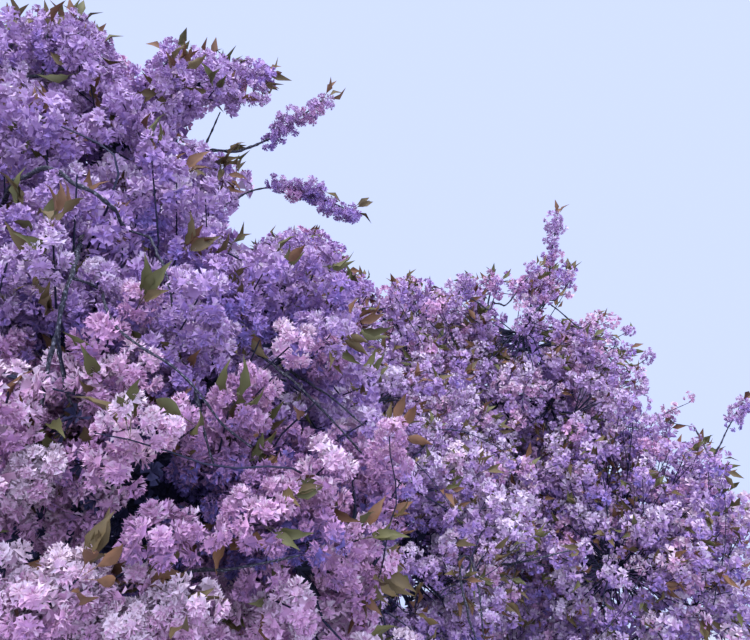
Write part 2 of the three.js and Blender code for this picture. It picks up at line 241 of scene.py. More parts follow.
@dataclass
class Mass:
    """One mass of blossom: the rounded space it keeps to and the bough's end that it grows from."""

    name: str
    tier: TierSizes
    angle: float
    centre: np.ndarray
    axes: np.ndarray
    halves: np.ndarray
    seed: int
    walls: list[tuple[np.ndarray, float]] = field(default_factory=list)
    arrive: np.ndarray = field(default_factory=lambda: UP)

    @property
    def entry(self) -> np.ndarray:
        """The point where the bough enters the mass."""
        return self.centre - self.axes[0] * self.halves[0] * 0.8

    def free_reach(self, directions: np.ndarray) -> np.ndarray:
        """Give how far the rounded space reaches in each direction, with no neighbour in the way."""
        return 1 / np.sqrt((((directions @ self.axes.T) / self.halves) ** 2).sum(1))

    def reach(self, directions: np.ndarray) -> np.ndarray:
        """Give how far the space reaches, up to the walls to its neighbours.

        Args:
            directions: Unit directions from the mass's centre.

        Returns:
            A distance for each direction.
        """
        far = self.free_reach(directions)
        for normal, offset in self.walls:
            speed = directions @ normal
            ahead = np.where(speed > 1e-9, (offset - normal @ self.centre) / np.maximum(speed, 1e-9), np.inf)
            far = np.minimum(far, ahead)
        return far

    def directions(self, count: int, spin: float) -> tuple[np.ndarray, np.ndarray]:
        """Spread directions evenly over the mass.

        Args:
            count: How many directions.
            spin: An angle in radians that the spread starts at.

        Returns:
            The directions, and how far each points out of the tree from -1 to 1.
        """
        k = np.arange(count)
        out = 1 - 2 * (k + 0.5) / count
        ring = np.sqrt(1 - out**2)
        bearing = k * GOLDEN_ANGLE + spin
        parts = np.stack([out, ring * np.cos(bearing), ring * np.sin(bearing)], 1)
        return parts @ self.axes, out


@dataclass
class Limb:
    """A bough: the line it follows and its girth."""

    name: str
    mass: Mass
    line: GrowthLine
    steps: int
    length: float

    @property
    def knots(self) -> np.ndarray:
        """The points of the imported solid's own line."""
        return self.line.at(np.linspace(0, 1, self.steps + 1))

    def radius(self, t: np.ndarray) -> np.ndarray:
        """Give the limb's radius: a collar at its foot and an even taper.

        Args:
            t: Shares of the way along, from 0 to 1.

        Returns:
            A radius for each share.
        """
        sizes = self.mass.tier.bough
        collar = 1 + 0.35 * np.exp(-t * self.length / 0.09)
        return (sizes.tip + (sizes.base - sizes.tip) * (1 - t) ** 0.85) * collar


@dataclass
class TreePlan:
    """The whole tree's sizes, and where its boughs and masses lie."""

    trunk_height: float = 1.5
    trunk_lean: tuple[float, float] = (-0.060, 0.055)
    trunk_bow: float = 0.026
    bay_angle: float = -40.0
    bay_half_width: float = 20.0
    bay_before: float = 37.0
    bay_after: float = 32.0
    top_offset: tuple[float, float] = (-0.43, 0.43)
    tiers: tuple[TierSizes, ...] = (
        TierSizes(
            "upper", 5, 1.29, 4.33, 60, (0.83, 1.02, 0.96), BoughSizes(0.070, 0.028, 34, 74, 0.74, 0.022), -22
        ),
        TierSizes(
            "shoulder", 8, 2.72, 3.23, 34, (0.96, 1.18, 1.11), BoughSizes(0.050, 0.025, 30, 34, 0.17, 0.12),
            in_bay=1.08, bay_across=0.72,
        ),
        TierSizes(
            "skirt", 9, 3.34, 1.95, 0, (0.98, 1.25, 1.12), BoughSizes(0.040, 0.022, 16, -10, 0.2, 0.15),
            drop=0.06, in_bay=1.33, bay_across=0.86,
        ),
        TierSizes("top", 1, 0, 4.96, 90, (0.64, 0.88, 0.88), BoughSizes(0.058, 0.025, 84, 86)),
    )

    def trunk_axis(self, z: np.ndarray | float) -> np.ndarray:
        """Give the middle of the trunk, which leans with a slight bow.

        Args:
            z: Heights above the ground.

        Returns:
            A point for each height.
        """
        t = np.asarray(z) / self.trunk_height
        bow = self.trunk_bow * np.sin(np.pi * t)
        return np.stack([self.trunk_lean[0] * t**2 + bow, self.trunk_lean[1] * t**2 - bow, np.asarray(z)], -1)

    def tier_angles(self, tier: TierSizes) -> list[float]:
        """Give the angles of a tier's masses: three close round the bay, the rest evenly.

        Args:
            tier: The tier of masses.

        Returns:
            An angle in degrees for each mass.
        """
        if not tier.in_bay:
            return [tier.first_angle + 360 / tier.count * k for k in range(tier.count)]
        rest = (360 - self.bay_before - self.bay_after) / (tier.count - 2)
        after = [self.bay_angle + self.bay_after + rest * k for k in range(tier.count - 2)]
        return [self.bay_angle - self.bay_before, self.bay_angle, *after]

    def masses(self) -> list[Mass]:
        """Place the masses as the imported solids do.

        Returns:
            Every mass of blossom, with the walls between it and its neighbours.
        """
        made: list[Mass] = []
        for tier in self.tiers:
            for k, angle in enumerate(self.tier_angles(tier)):
                bay = math.exp(-((turn(self.bay_angle, angle) / self.bay_half_width) ** 2))
                centre = heading(angle, 0) * (tier.reach - tier.in_bay * bay)
                shift = {"upper": 0.8, "top": 1.0}.get(tier.name, 0.0)
                centre = centre + [
                    self.top_offset[0] * shift,
                    self.top_offset[1] * shift,
                    tier.height + tier.drop * math.cos(math.radians(angle)),
                ]
                outward, sideways = heading(angle, tier.tilt), heading(angle + 90, 0)
                halves = np.array(tier.halves)
                if tier.in_bay and k < 3:
                    halves[1] *= tier.bay_across
                axes = np.array([outward, sideways, np.cross(outward, sideways)])
                name = "top_blossom" if tier.name == "top" else f"{tier.name}_blossom_{k + 1}"
                made.append(Mass(name, tier, angle, centre, axes, halves, SEED + 101 * len(made)))
        for mass in made:
            for other in made:
                if other is not mass:
                    normal = unit(other.centre - mass.centre)
                    mass.walls.append((normal, float(normal @ (other.centre + mass.centre) / 2)))
        return made

    def boughs(self, masses: list[Mass]) -> dict[str, Limb]:
        """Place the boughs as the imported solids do, and tell each mass how its bough arrives.

        Args:
            masses: Every mass of blossom.

        Returns:
            The boughs by the name of their mass.
        """
        limbs: dict[str, Limb] = {}
        used: dict[str, int] = {}
        for mass in masses:
            sizes, rand = mass.tier.bough, SeededRun(mass.seed + 7)
            inner = {"shoulder": "upper", "skirt": "shoulder"}.get(mass.tier.name)
            host = "trunk"
            if inner:
                hosts = [m for m in masses if m.tier.name == inner]
                host = min(hosts, key=lambda m: abs(turn(mass.angle, m.angle))).name
                taken = used.get(host, 0)
                knots = limbs[host].knots
                place = (sizes.start + sizes.step * taken) * (len(knots) - 1)
                k = int(place)
                start = knots[k] + (knots[k + 1] - knots[k]) * (place - k)
            elif mass.tier.name == "top":
                start, taken = self.trunk_axis(self.trunk_height * 0.86), 0
            else:
                taken = used.get(host, 0)
                start = self.trunk_axis(self.trunk_height * (sizes.start + sizes.step * ((taken * 2) % 5)))
            used[host] = taken + 1
            toward = mass.entry - start
            length = float(np.linalg.norm(toward))
            leave = heading(math.degrees(math.atan2(toward[1], toward[0])), sizes.leave)
            arrive = unit(mass.axes[0] * 0.3 + heading(mass.angle, sizes.arrive) * 0.7)
            phases = (rand() * 2 * math.pi, rand() * 2 * math.pi)
            line = GrowthLine(start, leave, mass.entry, arrive, 0.035, phases)
            steps = max(4, math.floor(length * 2.7 + 0.5))
            limb = Limb(mass.name.replace("blossom", "bough"), mass, line, steps, length)
            mass.arrive = unit(limb.knots[-1] - limb.knots[-2])
            limbs[mass.name] = limb
        return limbs


def bands(rings: int, sides: int) -> np.ndarray:
    """Give the triangles between rings of points.

    Args:
        rings: How many rings.
        sides: How many points in each.

    Returns:
        Two triangles for each side of each band.
    """
    k = np.arange(sides)
    after = (k + 1) % sides
    rows = np.arange(rings - 1)[:, None] * sides
    quads = np.stack([rows + k, rows + after, rows + sides + after, rows + sides + k], -1).reshape(-1, 4)
    return np.concatenate([quads[:, [0, 1, 2]], quads[:, [0, 2, 3]]])


def tubes(points: np.ndarray, radii: np.ndarray, sides: int) -> tuple[np.ndarray, np.ndarray]:
    """Make many tapering tubes at once.

    Args:
        points: Lines of points, shaped (tubes, points, 3).
        radii: The radius at each point, shaped (tubes, points).
        sides: How many sides each tube has.

    Returns:
        Vertices and triangles. Both ends of each tube are open.
    """
    count, steps, _ = points.shape
    along = unit(np.gradient(points, axis=1))
    reference = np.where(np.abs(along[:, :1, 2:]) > 0.9, np.array([1.0, 0, 0]), UP)
    across = unit(reference - (reference * along).sum(-1, keepdims=True) * along)
    other = np.cross(along, across)
    turns = np.arange(sides) * 2 * np.pi / sides
    ring = np.cos(turns)[:, None] * across[:, :, None] + np.sin(turns)[:, None] * other[:, :, None]
    verts = points[:, :, None] + radii[:, :, None, None] * ring
    tris = bands(steps, sides)[None] + (np.arange(count) * steps * sides)[:, None, None]
    return verts.reshape(-1, 3), tris.reshape(-1, 3)


def placed(
    verts: np.ndarray, tris: np.ndarray, turns: np.ndarray, places: np.ndarray
) -> tuple[np.ndarray, np.ndarray]:
    """Copy one small form to many places.

    Args:
        verts: The form's vertices.
        tris: The form's triangles.
        turns: A 3 by 3 matrix for each copy.
        places: A point for each copy.

    Returns:
        Vertices and triangles of all the copies.
    """
    all_verts = np.einsum("nij,vj->nvi", turns, verts) + places[:, None]
    all_tris = tris[None] + (np.arange(len(places)) * len(verts))[:, None, None]
    return all_verts.reshape(-1, 3), all_tris.reshape(-1, 3)


def frames_along(axis: np.ndarray, spin: np.ndarray) -> np.ndarray:
    """Give turns that take +Z to each axis, each spun about it.

    Args:
        axis: Unit directions.
        spin: An angle in radians for each.

    Returns:
        A 3 by 3 matrix for each direction.
    """
    reference = np.where(np.abs(axis[:, 2:]) > 0.9, np.array([1.0, 0, 0]), UP)
    x = unit(np.cross(reference, axis))
    y = np.cross(axis, x)
    c, s = np.cos(spin)[:, None], np.sin(spin)[:, None]
    return np.stack([x * c + y * s, y * c - x * s, axis], -1)


@dataclass(frozen=True)
class PlainFinish:
    """A petal, leaf or twig finish: one plain colour, because it is dealt out spray by spray."""

    colour: tuple[float, float, float]
    roughness: float
    sheen: float = 0.0
    gloss: float = 0.3

    def material(self, name: str) -> bpy.types.Material:
        """Make the material.

        Args:
            name: What the material is called.

        Returns:
            The new material.
        """
        made = bpy.data.materials.new(name)
        made.use_nodes = True
        shader = made.node_tree.nodes["Principled BSDF"]
        shader.inputs["Base Color"].default_value = (*self.colour, 1)
        shader.inputs["Roughness"].default_value = self.roughness
        shader.inputs["Specular IOR Level"].default_value = self.gloss
        shader.inputs["Sheen Weight"].default_value = self.sheen
        return made


# Petal finishes run from pale to deep and are dealt out partly as painted light and shade.
FINISHES = {
    Hue.BLUSH: PlainFinish((0.64, 0.535, 0.635), 0.7, 0.1),
    Hue.ROSE: PlainFinish((0.54, 0.385, 0.57), 0.7, 0.1),
    Hue.ORCHID: PlainFinish((0.45, 0.285, 0.52), 0.7, 0.1),
    Hue.MAUVE: PlainFinish((0.350, 0.22, 0.505), 0.7, 0.1),
    Hue.PLUM: PlainFinish((0.265, 0.19, 0.48), 0.75, 0.1),
    Hue.DUSK: PlainFinish((0.19, 0.145, 0.40), 0.8),
    # Painted shade: the near-black navy of the dark tufts that fill the crown's inside.
    Hue.PAINTED_SHADE: PlainFinish((0.042, 0.042, 0.100), 0.85),
    Hue.PEARL: PlainFinish((0.71, 0.575, 0.64), 0.7, 0.1),
    Hue.PINK: PlainFinish((0.66, 0.445, 0.58), 0.7, 0.1),
    Hue.CERISE: PlainFinish((0.58, 0.325, 0.50), 0.7, 0.1),
    Hue.BERRY: PlainFinish((0.46, 0.24, 0.43), 0.7, 0.1),
    Hue.CLARET: PlainFinish((0.33, 0.185, 0.38), 0.75, 0.1),
    Hue.BRONZE: PlainFinish((0.135, 0.098, 0.042), 0.6),
    Hue.COPPER: PlainFinish((0.180, 0.092, 0.046), 0.6),
    Hue.OLIVE: PlainFinish((0.118, 0.114, 0.042), 0.6),
}
TWIG_BARK = PlainFinish((0.024, 0.026, 0.052), 0.7, 0, 0.2)


def only(verts: np.ndarray, tris: np.ndarray) -> tuple[np.ndarray, np.ndarray]:
    """Keep the vertices that these triangles use, and number the triangles anew."""
    used, index = np.unique(tris, return_inverse=True)
    return verts[used], index.reshape(-1, 3)


class Basket:
    """Collects many small forms of one finish and makes them into pieces."""

    MOST = 190_000

    def __init__(self, name: str, material: bpy.types.Material, slot: str, stands_for: list[str]) -> None:
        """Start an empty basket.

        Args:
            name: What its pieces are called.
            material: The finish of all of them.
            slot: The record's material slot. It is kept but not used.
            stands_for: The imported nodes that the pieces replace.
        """
        self.name, self.material, self.slot, self.stands_for = name, material, slot, stands_for
        self.forms: list[tuple[np.ndarray, np.ndarray]] = []

    def add(self, verts: np.ndarray, tris: np.ndarray) -> None:
        """Put vertices and triangles into the basket."""
        if len(tris):
            self.forms.append((verts, tris))

    def make(self) -> None:
        """Make the pieces, each under the export's limit."""
        batches: list[list[tuple[np.ndarray, np.ndarray]]] = [[]]
        held = 0
        for form in self.forms:
            if held + len(form[1]) > self.MOST and batches[-1]:
                batches.append([])
                held = 0
            batches[-1].append(form)
            held += len(form[1])
        for k, batch in enumerate(b for b in batches if b):
            starts = np.cumsum([0] + [len(v) for v, _ in batch[:-1]])
            verts = np.concatenate([v for v, _ in batch])
            tris = np.concatenate([t + s for (_, t), s in zip(batch, starts)])
            piece = mesh_object(f"{self.name}_{k + 1}", verts, tris, self.material)
            finish_piece(piece, self.stands_for)


def mesh_object(
    name: str, verts: np.ndarray, tris: np.ndarray, material: bpy.types.Material
) -> bpy.types.Object:
    """Make an object from arrays.

    Args:
        name: What the object is called.
        verts: Its vertices.
        tris: Its triangles.
        material: Its finish.

    Returns:
        The new object.
    """
    mesh = bpy.data.meshes.new(name)
    mesh.vertices.add(len(verts))
    mesh.vertices.foreach_set("co", verts.astype(np.float32).ravel())
    mesh.loops.add(len(tris) * 3)
    mesh.loops.foreach_set("vertex_index", tris.astype(np.int32).ravel())
    mesh.polygons.add(len(tris))
    mesh.polygons.foreach_set("loop_start", np.arange(len(tris), dtype=np.int32) * 3)
    mesh.update(calc_edges=True)
    mesh.materials.append(material)
    made = bpy.data.objects.new(name, mesh)
    bpy.context.collection.objects.link(made)
    return made


def finish_piece(piece: bpy.types.Object, nodes: list[str]) -> None:
    """Tie a piece to the frame and log it.

    Args:
        piece: The object.
        nodes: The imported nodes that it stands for.
    """
    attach(piece, BODY)
    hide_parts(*nodes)
    LOG.info("%s: %d faces", piece.name, len(piece.data.polygons))


@dataclass(frozen=True)
class BarkFinish:
    """Old cherry bark: dark grey, rough, with pale bands of lenticels across the limb."""

    dark: tuple[float, float, float] = (0.012, 0.013, 0.022)
    middle: tuple[float, float, float] = (0.060, 0.056, 0.062)
    pale: tuple[float, float, float] = (0.26, 0.25, 0.27)
    grain: float = 30.0

    def material(self, name: str) -> bpy.types.Material:
        """Make the bark material.

        Args:
            name: What the material is called.

        Returns:
            The new material, which reads the map named limb.
        """
        made = bpy.data.materials.new(name)
        made.use_nodes = True
        nodes, links = made.node_tree.nodes, made.node_tree.links
        shader = nodes["Principled BSDF"]
        shader.inputs["Roughness"].default_value = 0.82
        shader.inputs["Specular IOR Level"].default_value = 0.3
        where = nodes.new("ShaderNodeUVMap")
        where.uv_map = "limb"
        stretch = nodes.new("ShaderNodeMapping")
        stretch.inputs["Scale"].default_value = (3.0, self.grain, 1.0)
        bands = nodes.new("ShaderNodeTexNoise")
        bands.inputs["Scale"].default_value = 1.0
        bands.inputs["Detail"].default_value = 5.0
        ramp = nodes.new("ShaderNodeValToRGB")
        ramp.color_ramp.elements[0].position = 0.36
        ramp.color_ramp.elements[0].color = (*self.dark, 1)
        ramp.color_ramp.elements[1].position = 0.70
        ramp.color_ramp.elements[1].color = (*self.pale, 1)
        ramp.color_ramp.elements.new(0.54).color = (*self.middle, 1)
        rough = nodes.new("ShaderNodeTexNoise")
        rough.inputs["Scale"].default_value = 90.0
        rough.inputs["Detail"].default_value = 4.0
        place = nodes.new("ShaderNodeTexCoord")
        bump = nodes.new("ShaderNodeBump")
        bump.inputs["Strength"].default_value = 0.6
        bump.inputs["Distance"].default_value = 0.004
        links.new(where.outputs["UV"], stretch.inputs["Vector"])
        links.new(stretch.outputs["Vector"], bands.inputs["Vector"])
        links.new(bands.outputs["Fac"], ramp.inputs["Fac"])
        links.new(ramp.outputs["Color"], shader.inputs["Base Color"])
        links.new(place.outputs["Object"], rough.inputs["Vector"])
        links.new(rough.outputs["Fac"], bump.inputs["Height"])
        links.new(bump.outputs["Normal"], shader.inputs["Normal"])
        return made


@dataclass
class Wood:
    """The trunk and the boughs as fine meshes with bark relief."""

    plan: TreePlan
    finish: BarkFinish = BarkFinish()
    branch_finish: BarkFinish = BarkFinish(middle=(0.036, 0.036, 0.050), pale=(0.26, 0.26, 0.31), grain=120.0)
    ground_radius: float = 0.168
    fork_radius: float = 0.138
    flare: float = 0.12
    flare_fade: float = 0.15
    roots: int = 5
    root_depth: float = 0.42
    trunk_rings: int = 110
    trunk_sides: int = 72
    bough_sides: int = 14
    bough_ring_gap: float = 0.045
    branch_sides: int = 8

    def relief(self, points: np.ndarray, out: np.ndarray, along: np.ndarray, girth: np.ndarray) -> np.ndarray:
        """Raise the bark: lumps, fine cracks and raised bands across the limb.

        Args:
            points: Surface points.
            out: The outward direction at each.
            along: Distance along the limb at each.
            girth: The limb's radius at each.

        Returns:
            The points moved out or in.
        """
        lump = np.array([noise.noise(Vector(p) * 7.0) for p in points])
        fine = np.array([noise.noise(Vector((p[0] * 34, p[1] * 34, p[2] * 34))) for p in points])
        band = np.array([noise.noise(Vector((o[0] * 2.2, o[1] * 2.2, s * 46))) for o, s in zip(out, along)])
        ridge = np.minimum(girth * 0.05, 0.004) * np.maximum(band, 0) * 2
        rise = girth * (0.10 * lump + 0.035 * fine) + ridge
        return points + out * rise[:, None]

    def trunk(self) -> Form:
        """Make the trunk from its flared foot to the rounded head of the fork.

        Returns:
            Vertices, triangles and the limb map's coordinates.
        """
        plan = self.plan
        t = np.linspace(0, 1, self.trunk_rings) ** 1.15
        z = t * plan.trunk_height
        axis = plan.trunk_axis(z)
        angle = np.arange(self.trunk_sides) * 2 * np.pi / self.trunk_sides
        lobes = 1 + self.root_depth * np.cos(self.roots * angle + 0.6)
        shaft = self.ground_radius + (self.fork_radius - self.ground_radius) * t
        radius = shaft[:, None] + self.flare * np.exp(-z / self.flare_fade)[:, None] * lobes[None]
        dome = np.sqrt(np.clip(1 - ((t - 0.86) / 0.145).clip(0, 0.98) ** 2, 0.03, 1))
        radius = radius * dome[:, None] * 0.985
        slope = unit(np.gradient(axis, axis=0))
        across = unit(np.array([1.0, 0, 0]) - slope * slope[:, :1])
        other = np.cross(slope, across)
        out = np.cos(angle)[None, :, None] * across[:, None] + np.sin(angle)[None, :, None] * other[:, None]
        points = axis[:, None] + radius[:, :, None] * out
        along = np.repeat(z, self.trunk_sides)
        girth = radius.ravel()
        shaped = self.relief(points.reshape(-1, 3), out.reshape(-1, 3), along, girth)
        shaped[: self.trunk_sides, 2] = 0
        shaped[:, 2] = np.clip(shaped[:, 2], 0, plan.trunk_height * 1.002)
        verts, tris = self.skin(shaped, self.trunk_rings, self.trunk_sides)
        return verts, tris, self.limb_map(along, angle, self.trunk_rings)

    def limb_map(self, along: np.ndarray, angle: np.ndarray, rings: int) -> np.ndarray:
        """Give how far round and how far along the limb each vertex and both ends lie.

        Args:
            along: Distance along the limb at each ring's points.
            angle: The angle of each point of a ring, in radians.
            rings: How many rings.

        Returns:
            Two coordinates for each vertex.
        """
        around = np.tile(angle / (2 * np.pi), rings)
        rows = np.stack([np.minimum(around, 1 - around) * 2, along], 1)
        return np.concatenate([rows, [[0.5, along[0]], [0.5, along[-1]]]])

    def skin(self, points: np.ndarray, rings: int, sides: int) -> tuple[np.ndarray, np.ndarray]:
        """Close rings of points with triangles and two end fans.

        Args:
            points: The rings' points in order.
            rings: How many rings.
            sides: How many points in each.

        Returns:
            Vertices and triangles.
        """
        ends = np.stack([points[:sides].mean(0), points[-sides:].mean(0)])
        verts = np.concatenate([points, ends])
        k = np.arange(sides)
        after = (k + 1) % sides
        last = (rings - 1) * sides
        foot = np.stack([after, k, np.full(sides, len(points))], 1)
        head = np.stack([last + k, last + after, np.full(sides, len(points) + 1)], 1)
        return verts, np.concatenate([bands(rings, sides), foot, head])

    def sleeve(self, axis: np.ndarray, radii: np.ndarray, sides: int) -> Form:
        """Wrap bark round a line.

        Args:
            axis: The line's points.
            radii: The limb's radius at each.
            sides: How many sides it has.

        Returns:
            Vertices, triangles and the limb map's coordinates.
        """
        slope = unit(np.gradient(axis, axis=0))
        across = np.empty_like(slope)
        normal = np.array([1.0, 0, 0]) if abs(slope[0, 2]) > 0.9 else UP
        for k, direction in enumerate(slope):
            normal = unit(normal - (normal @ direction) * direction)
            across[k] = normal
        other = np.cross(slope, across)
        angle = np.arange(sides) * 2 * np.pi / sides
        out = np.cos(angle)[None, :, None] * across[:, None] + np.sin(angle)[None, :, None] * other[:, None]
        points = (axis[:, None] + radii[:, None, None] * out).reshape(-1, 3)
        along = np.repeat(reached_along(axis), sides)
        shaped = self.relief(points, out.reshape(-1, 3), along, np.repeat(radii, sides))
        return (*self.skin(shaped, len(axis), sides), self.limb_map(along, angle, len(axis)))

    def bough(self, limb: Limb) -> Form:
        """Make one bough along its limb's line.

        Args:
            limb: The bough's line and girth.

        Returns:
            Vertices, triangles and the limb map's coordinates.
        """
        t = np.linspace(0, 1, max(20, int(limb.length / self.bough_ring_gap)))
        return self.sleeve(limb.line.at(t), limb.radius(t), self.bough_sides)

    def join(self, name: str, forms: list[Form], nodes: list[str], finish: BarkFinish) -> None:
        """Make one piece of bark from many forms.

        Args:
            name: What the piece is called.
            forms: Vertices, triangles and the limb map's coordinates of each form.
            nodes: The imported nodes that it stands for.
            finish: Its bark.
        """
        starts = np.cumsum([0] + [len(f[0]) for f in forms[:-1]])
        verts = np.concatenate([f[0] for f in forms])
        tris = np.concatenate([f[1] + s for f, s in zip(forms, starts)])
        around = np.concatenate([f[2] for f in forms])
        piece = mesh_object(name, verts, tris, finish.material(name + "_bark"))
        piece.data.polygons.foreach_set("use_smooth", np.ones(len(tris), dtype=bool))
        layer = piece.data.uv_layers.new(name="limb")
        layer.data.foreach_set("uv", around[tris.ravel()].astype(np.float32).ravel())
        finish_piece(piece, nodes)

    def build(self, limbs: dict[str, Limb]) -> None:
        """Make the trunk and all the boughs as one piece.

        Args:
            limbs: The boughs by the name of their mass.
        """
        forms = [self.trunk()] + [self.bough(limb) for limb in limbs.values()]
        self.join("trunk_and_boughs", forms, ["trunk", *(limb.name for limb in limbs.values())], self.finish)

    def build_branches(self, branches: list[tuple[np.ndarray, np.ndarray]], nodes: list[str]) -> None:
        """Make the stout branches that show among the blossom as one piece.

        Args:
            branches: Each branch's line and radii.
            nodes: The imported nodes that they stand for.
        """
        forms = [self.sleeve(path, radii, self.branch_sides) for path, radii in branches]
        self.join("near_branches", forms, nodes, self.branch_finish)


@dataclass(frozen=True)
class Eye:
    """The spot that the tree is seen from: near the crown's edge, looking up into it."""

    place: tuple[float, float, float] = (1.7, -5.4, 1.6)
    pitch: float = 22.0
    lens: float = 33.6
    sensor: float = 36.0
    width: float = 750.0
    height: float = 640.0

    @property
    def scale(self) -> float:
        """How many pixels one metre takes, one metre ahead."""
        return self.width * self.lens / self.sensor

    def distance(self, points: np.ndarray) -> np.ndarray:
        """Give how far points are from the eye."""
        return np.linalg.norm(points - np.array(self.place), axis=-1)

    def project(self, points: np.ndarray) -> tuple[np.ndarray, np.ndarray, np.ndarray]:
        """Give where points fall in the picture.

        Args:
            points: Points in the tree's frame.

        Returns:
            Pixels across and down, and the distance in front of the eye.
        """
        c, s = math.cos(math.radians(self.pitch)), math.sin(math.radians(self.pitch))
        way = points - np.array(self.place)
        ahead = way[..., 1] * c + way[..., 2] * s
        above = way[..., 2] * c - way[..., 1] * s
        scale = self.scale / np.maximum(ahead, 0.05)
        return self.width / 2 + way[..., 0] * scale, self.height / 2 - above * scale, ahead

    def point(self, across: float, down: float, ahead: float) -> np.ndarray:
        """Give the point that falls on a pixel.

        Args:
            across: Pixels across the picture.
            down: Pixels down the picture.
            ahead: The distance in front of the eye.

        Returns:
            The point in the tree's frame.
        """
        c, s = math.cos(math.radians(self.pitch)), math.sin(math.radians(self.pitch))
        scale = ahead / self.scale
        above = (self.height / 2 - down) * scale
        way = [(across - self.width / 2) * scale, ahead * c - above * s, ahead * s + above * c]
        return np.array(self.place) + way

    def sees(self, points: np.ndarray, margin: float = 50.0) -> np.ndarray:
        """Tell which points fall in the picture or close round it.

        Args:
            points: Points in the tree's frame.
            margin: How many pixels round the picture still count.

        Returns:
            True where a point does.
        """
        across, down, ahead = self.project(points)
        wide = (across > -margin) & (across < self.width + margin)
        return wide & (down > -margin) & (down < self.height + margin) & (ahead > 0.2)


@dataclass(frozen=True)
class Outline:
    """Where the crown ends in the picture and where it is open, in pixels across and down."""

    edge: tuple[tuple[float, float], ...] = (
        (-150, -160), (0, 4), (60, 8), (86, 8), (96, 36), (130, 44), (148, 70), (158, 50), (210, 50),
        (250, 54), (272, 62), (274, 92), (258, 96), (262, 244), (290, 226), (335, 232), (348, 266),
        (372, 288), (400, 274), (437, 283), (453, 270), (511, 268), (537, 263), (578, 268), (582, 306),
        (632, 322), (652, 354), (671, 390), (682, 428), (712, 448), (750, 452), (900, 380),
    )
    openings: tuple[tuple[float, float, float, float], ...] = (
        (218, 131, 30, 21), (246, 222, 21, 30), (280, 160, 34, 62), (112, 30, 8, 8), (566, 312, 26, 9),
        (503, 306, 14, 7), (722, 433, 24, 13), (684, 438, 16, 5), (616, 470, 13, 6), (665, 470, 10, 5),
        (740, 482, 14, 11),
    )

    def below_edge(self, across: np.ndarray, down: np.ndarray) -> np.ndarray:
        """Give how far below the crown's upper edge each point of the picture lies.

        Args:
            across: Pixels across the picture.
            down: Pixels down the picture.

        Returns:
            A number of pixels for each.
        """
        xs, ys = zip(*self.edge)
        order = np.maximum.accumulate(np.array(xs) + np.arange(len(xs)) * 1e-3)
        return down - np.interp(across, order, ys)

    def open_at(self, across: np.ndarray, down: np.ndarray, size: np.ndarray) -> np.ndarray:
        """Tell which points of the picture lie past the crown's edge or in one of its openings.

        Args:
            across: Pixels across the picture.
            down: Pixels down the picture.
            size: How far round each point must be clear, in pixels.

        Returns:
            True where the crown is open.
        """
        found = self.below_edge(across, down) < size
        for x, y, wide, high in self.openings:
            found |= ((across - x) / (wide + size)) ** 2 + ((down - y) / (high + size)) ** 2 < 1
        return found


@dataclass(frozen=True)
class Grade:
    """How sprays are made within a distance of the eye: finer and closer together where they are near."""

    within: float
    chance: float
    spur_gap: float
    flowers: int
    flower_radius: float
    ball: float
    rings: tuple[tuple[int, float, float, float], ...]
    cut: PetalCut
    twig_knots: int
    leaf_scale: float


GRADES = (
    Grade(
        1.95, 1.0, 0.057, 7, 0.0290, 0.043,
        (
            (12, 1.0, 0.46, 4), (12, 0.97, 0.44, 26), (10, 0.92, 0.42, 48), (7, 0.84, 0.42, 68),
            (3, 0.76, 0.42, 84),
        ),
        PetalCut.CLEFT, 5, 1.0,
    ),
    Grade(
        2.9, 1.0, 0.064, 7, 0.0300, 0.045,
        ((10, 1.0, 0.46, 6), (9, 0.96, 0.44, 32), (6, 0.88, 0.44, 56), (3, 0.8, 0.44, 80)),
        PetalCut.SCALE, 5, 1.0,
    ),
    Grade(
        3.7, 1.0, 0.074, 7, 0.0305, 0.046, ((9, 1.0, 0.52, 8), (7, 0.94, 0.50, 36), (4, 0.84, 0.50, 66)),
        PetalCut.SCALE, 4, 1.0,
    ),
    Grade(
        4.7, 0.92, 0.087, 7, 0.031, 0.047, ((6, 1.0, 0.64, 10), (4, 0.9, 0.62, 42), (3, 0.8, 0.60, 70)),
        PetalCut.WEDGE, 4, 1.05,
    ),
    Grade(
        6.2, 0.77, 0.099, 6, 0.033, 0.050, ((6, 1.0, 0.70, 14), (4, 0.88, 0.66, 48), (2, 0.76, 0.7, 76)),
        PetalCut.WEDGE, 3, 1.1,
    ),
    Grade(99.0, 0.19, 0.135, 4, 0.053, 0.060, ((5, 1.0, 1.0, 18), (2, 0.8, 0.9, 60)), PetalCut.WEDGE, 3, 1.3),
)
# Forms of the dark tufts set inside the masses as painted shade.
SHADED_FAR = Grade(0.0, 1.0, 0.1, 3, 0.070, 0.080, ((5, 1.0, 0.62, 30),), PetalCut.WEDGE, 3, 1.0)
SHADED_NEAR = Grade(
    0.0, 1.0, 0.1, 8, 0.034, 0.082, ((7, 1.0, 0.5, 10), (5, 0.9, 0.5, 40), (2, 0.8, 0.5, 70)),
    PetalCut.WEDGE, 3, 1.0,
)


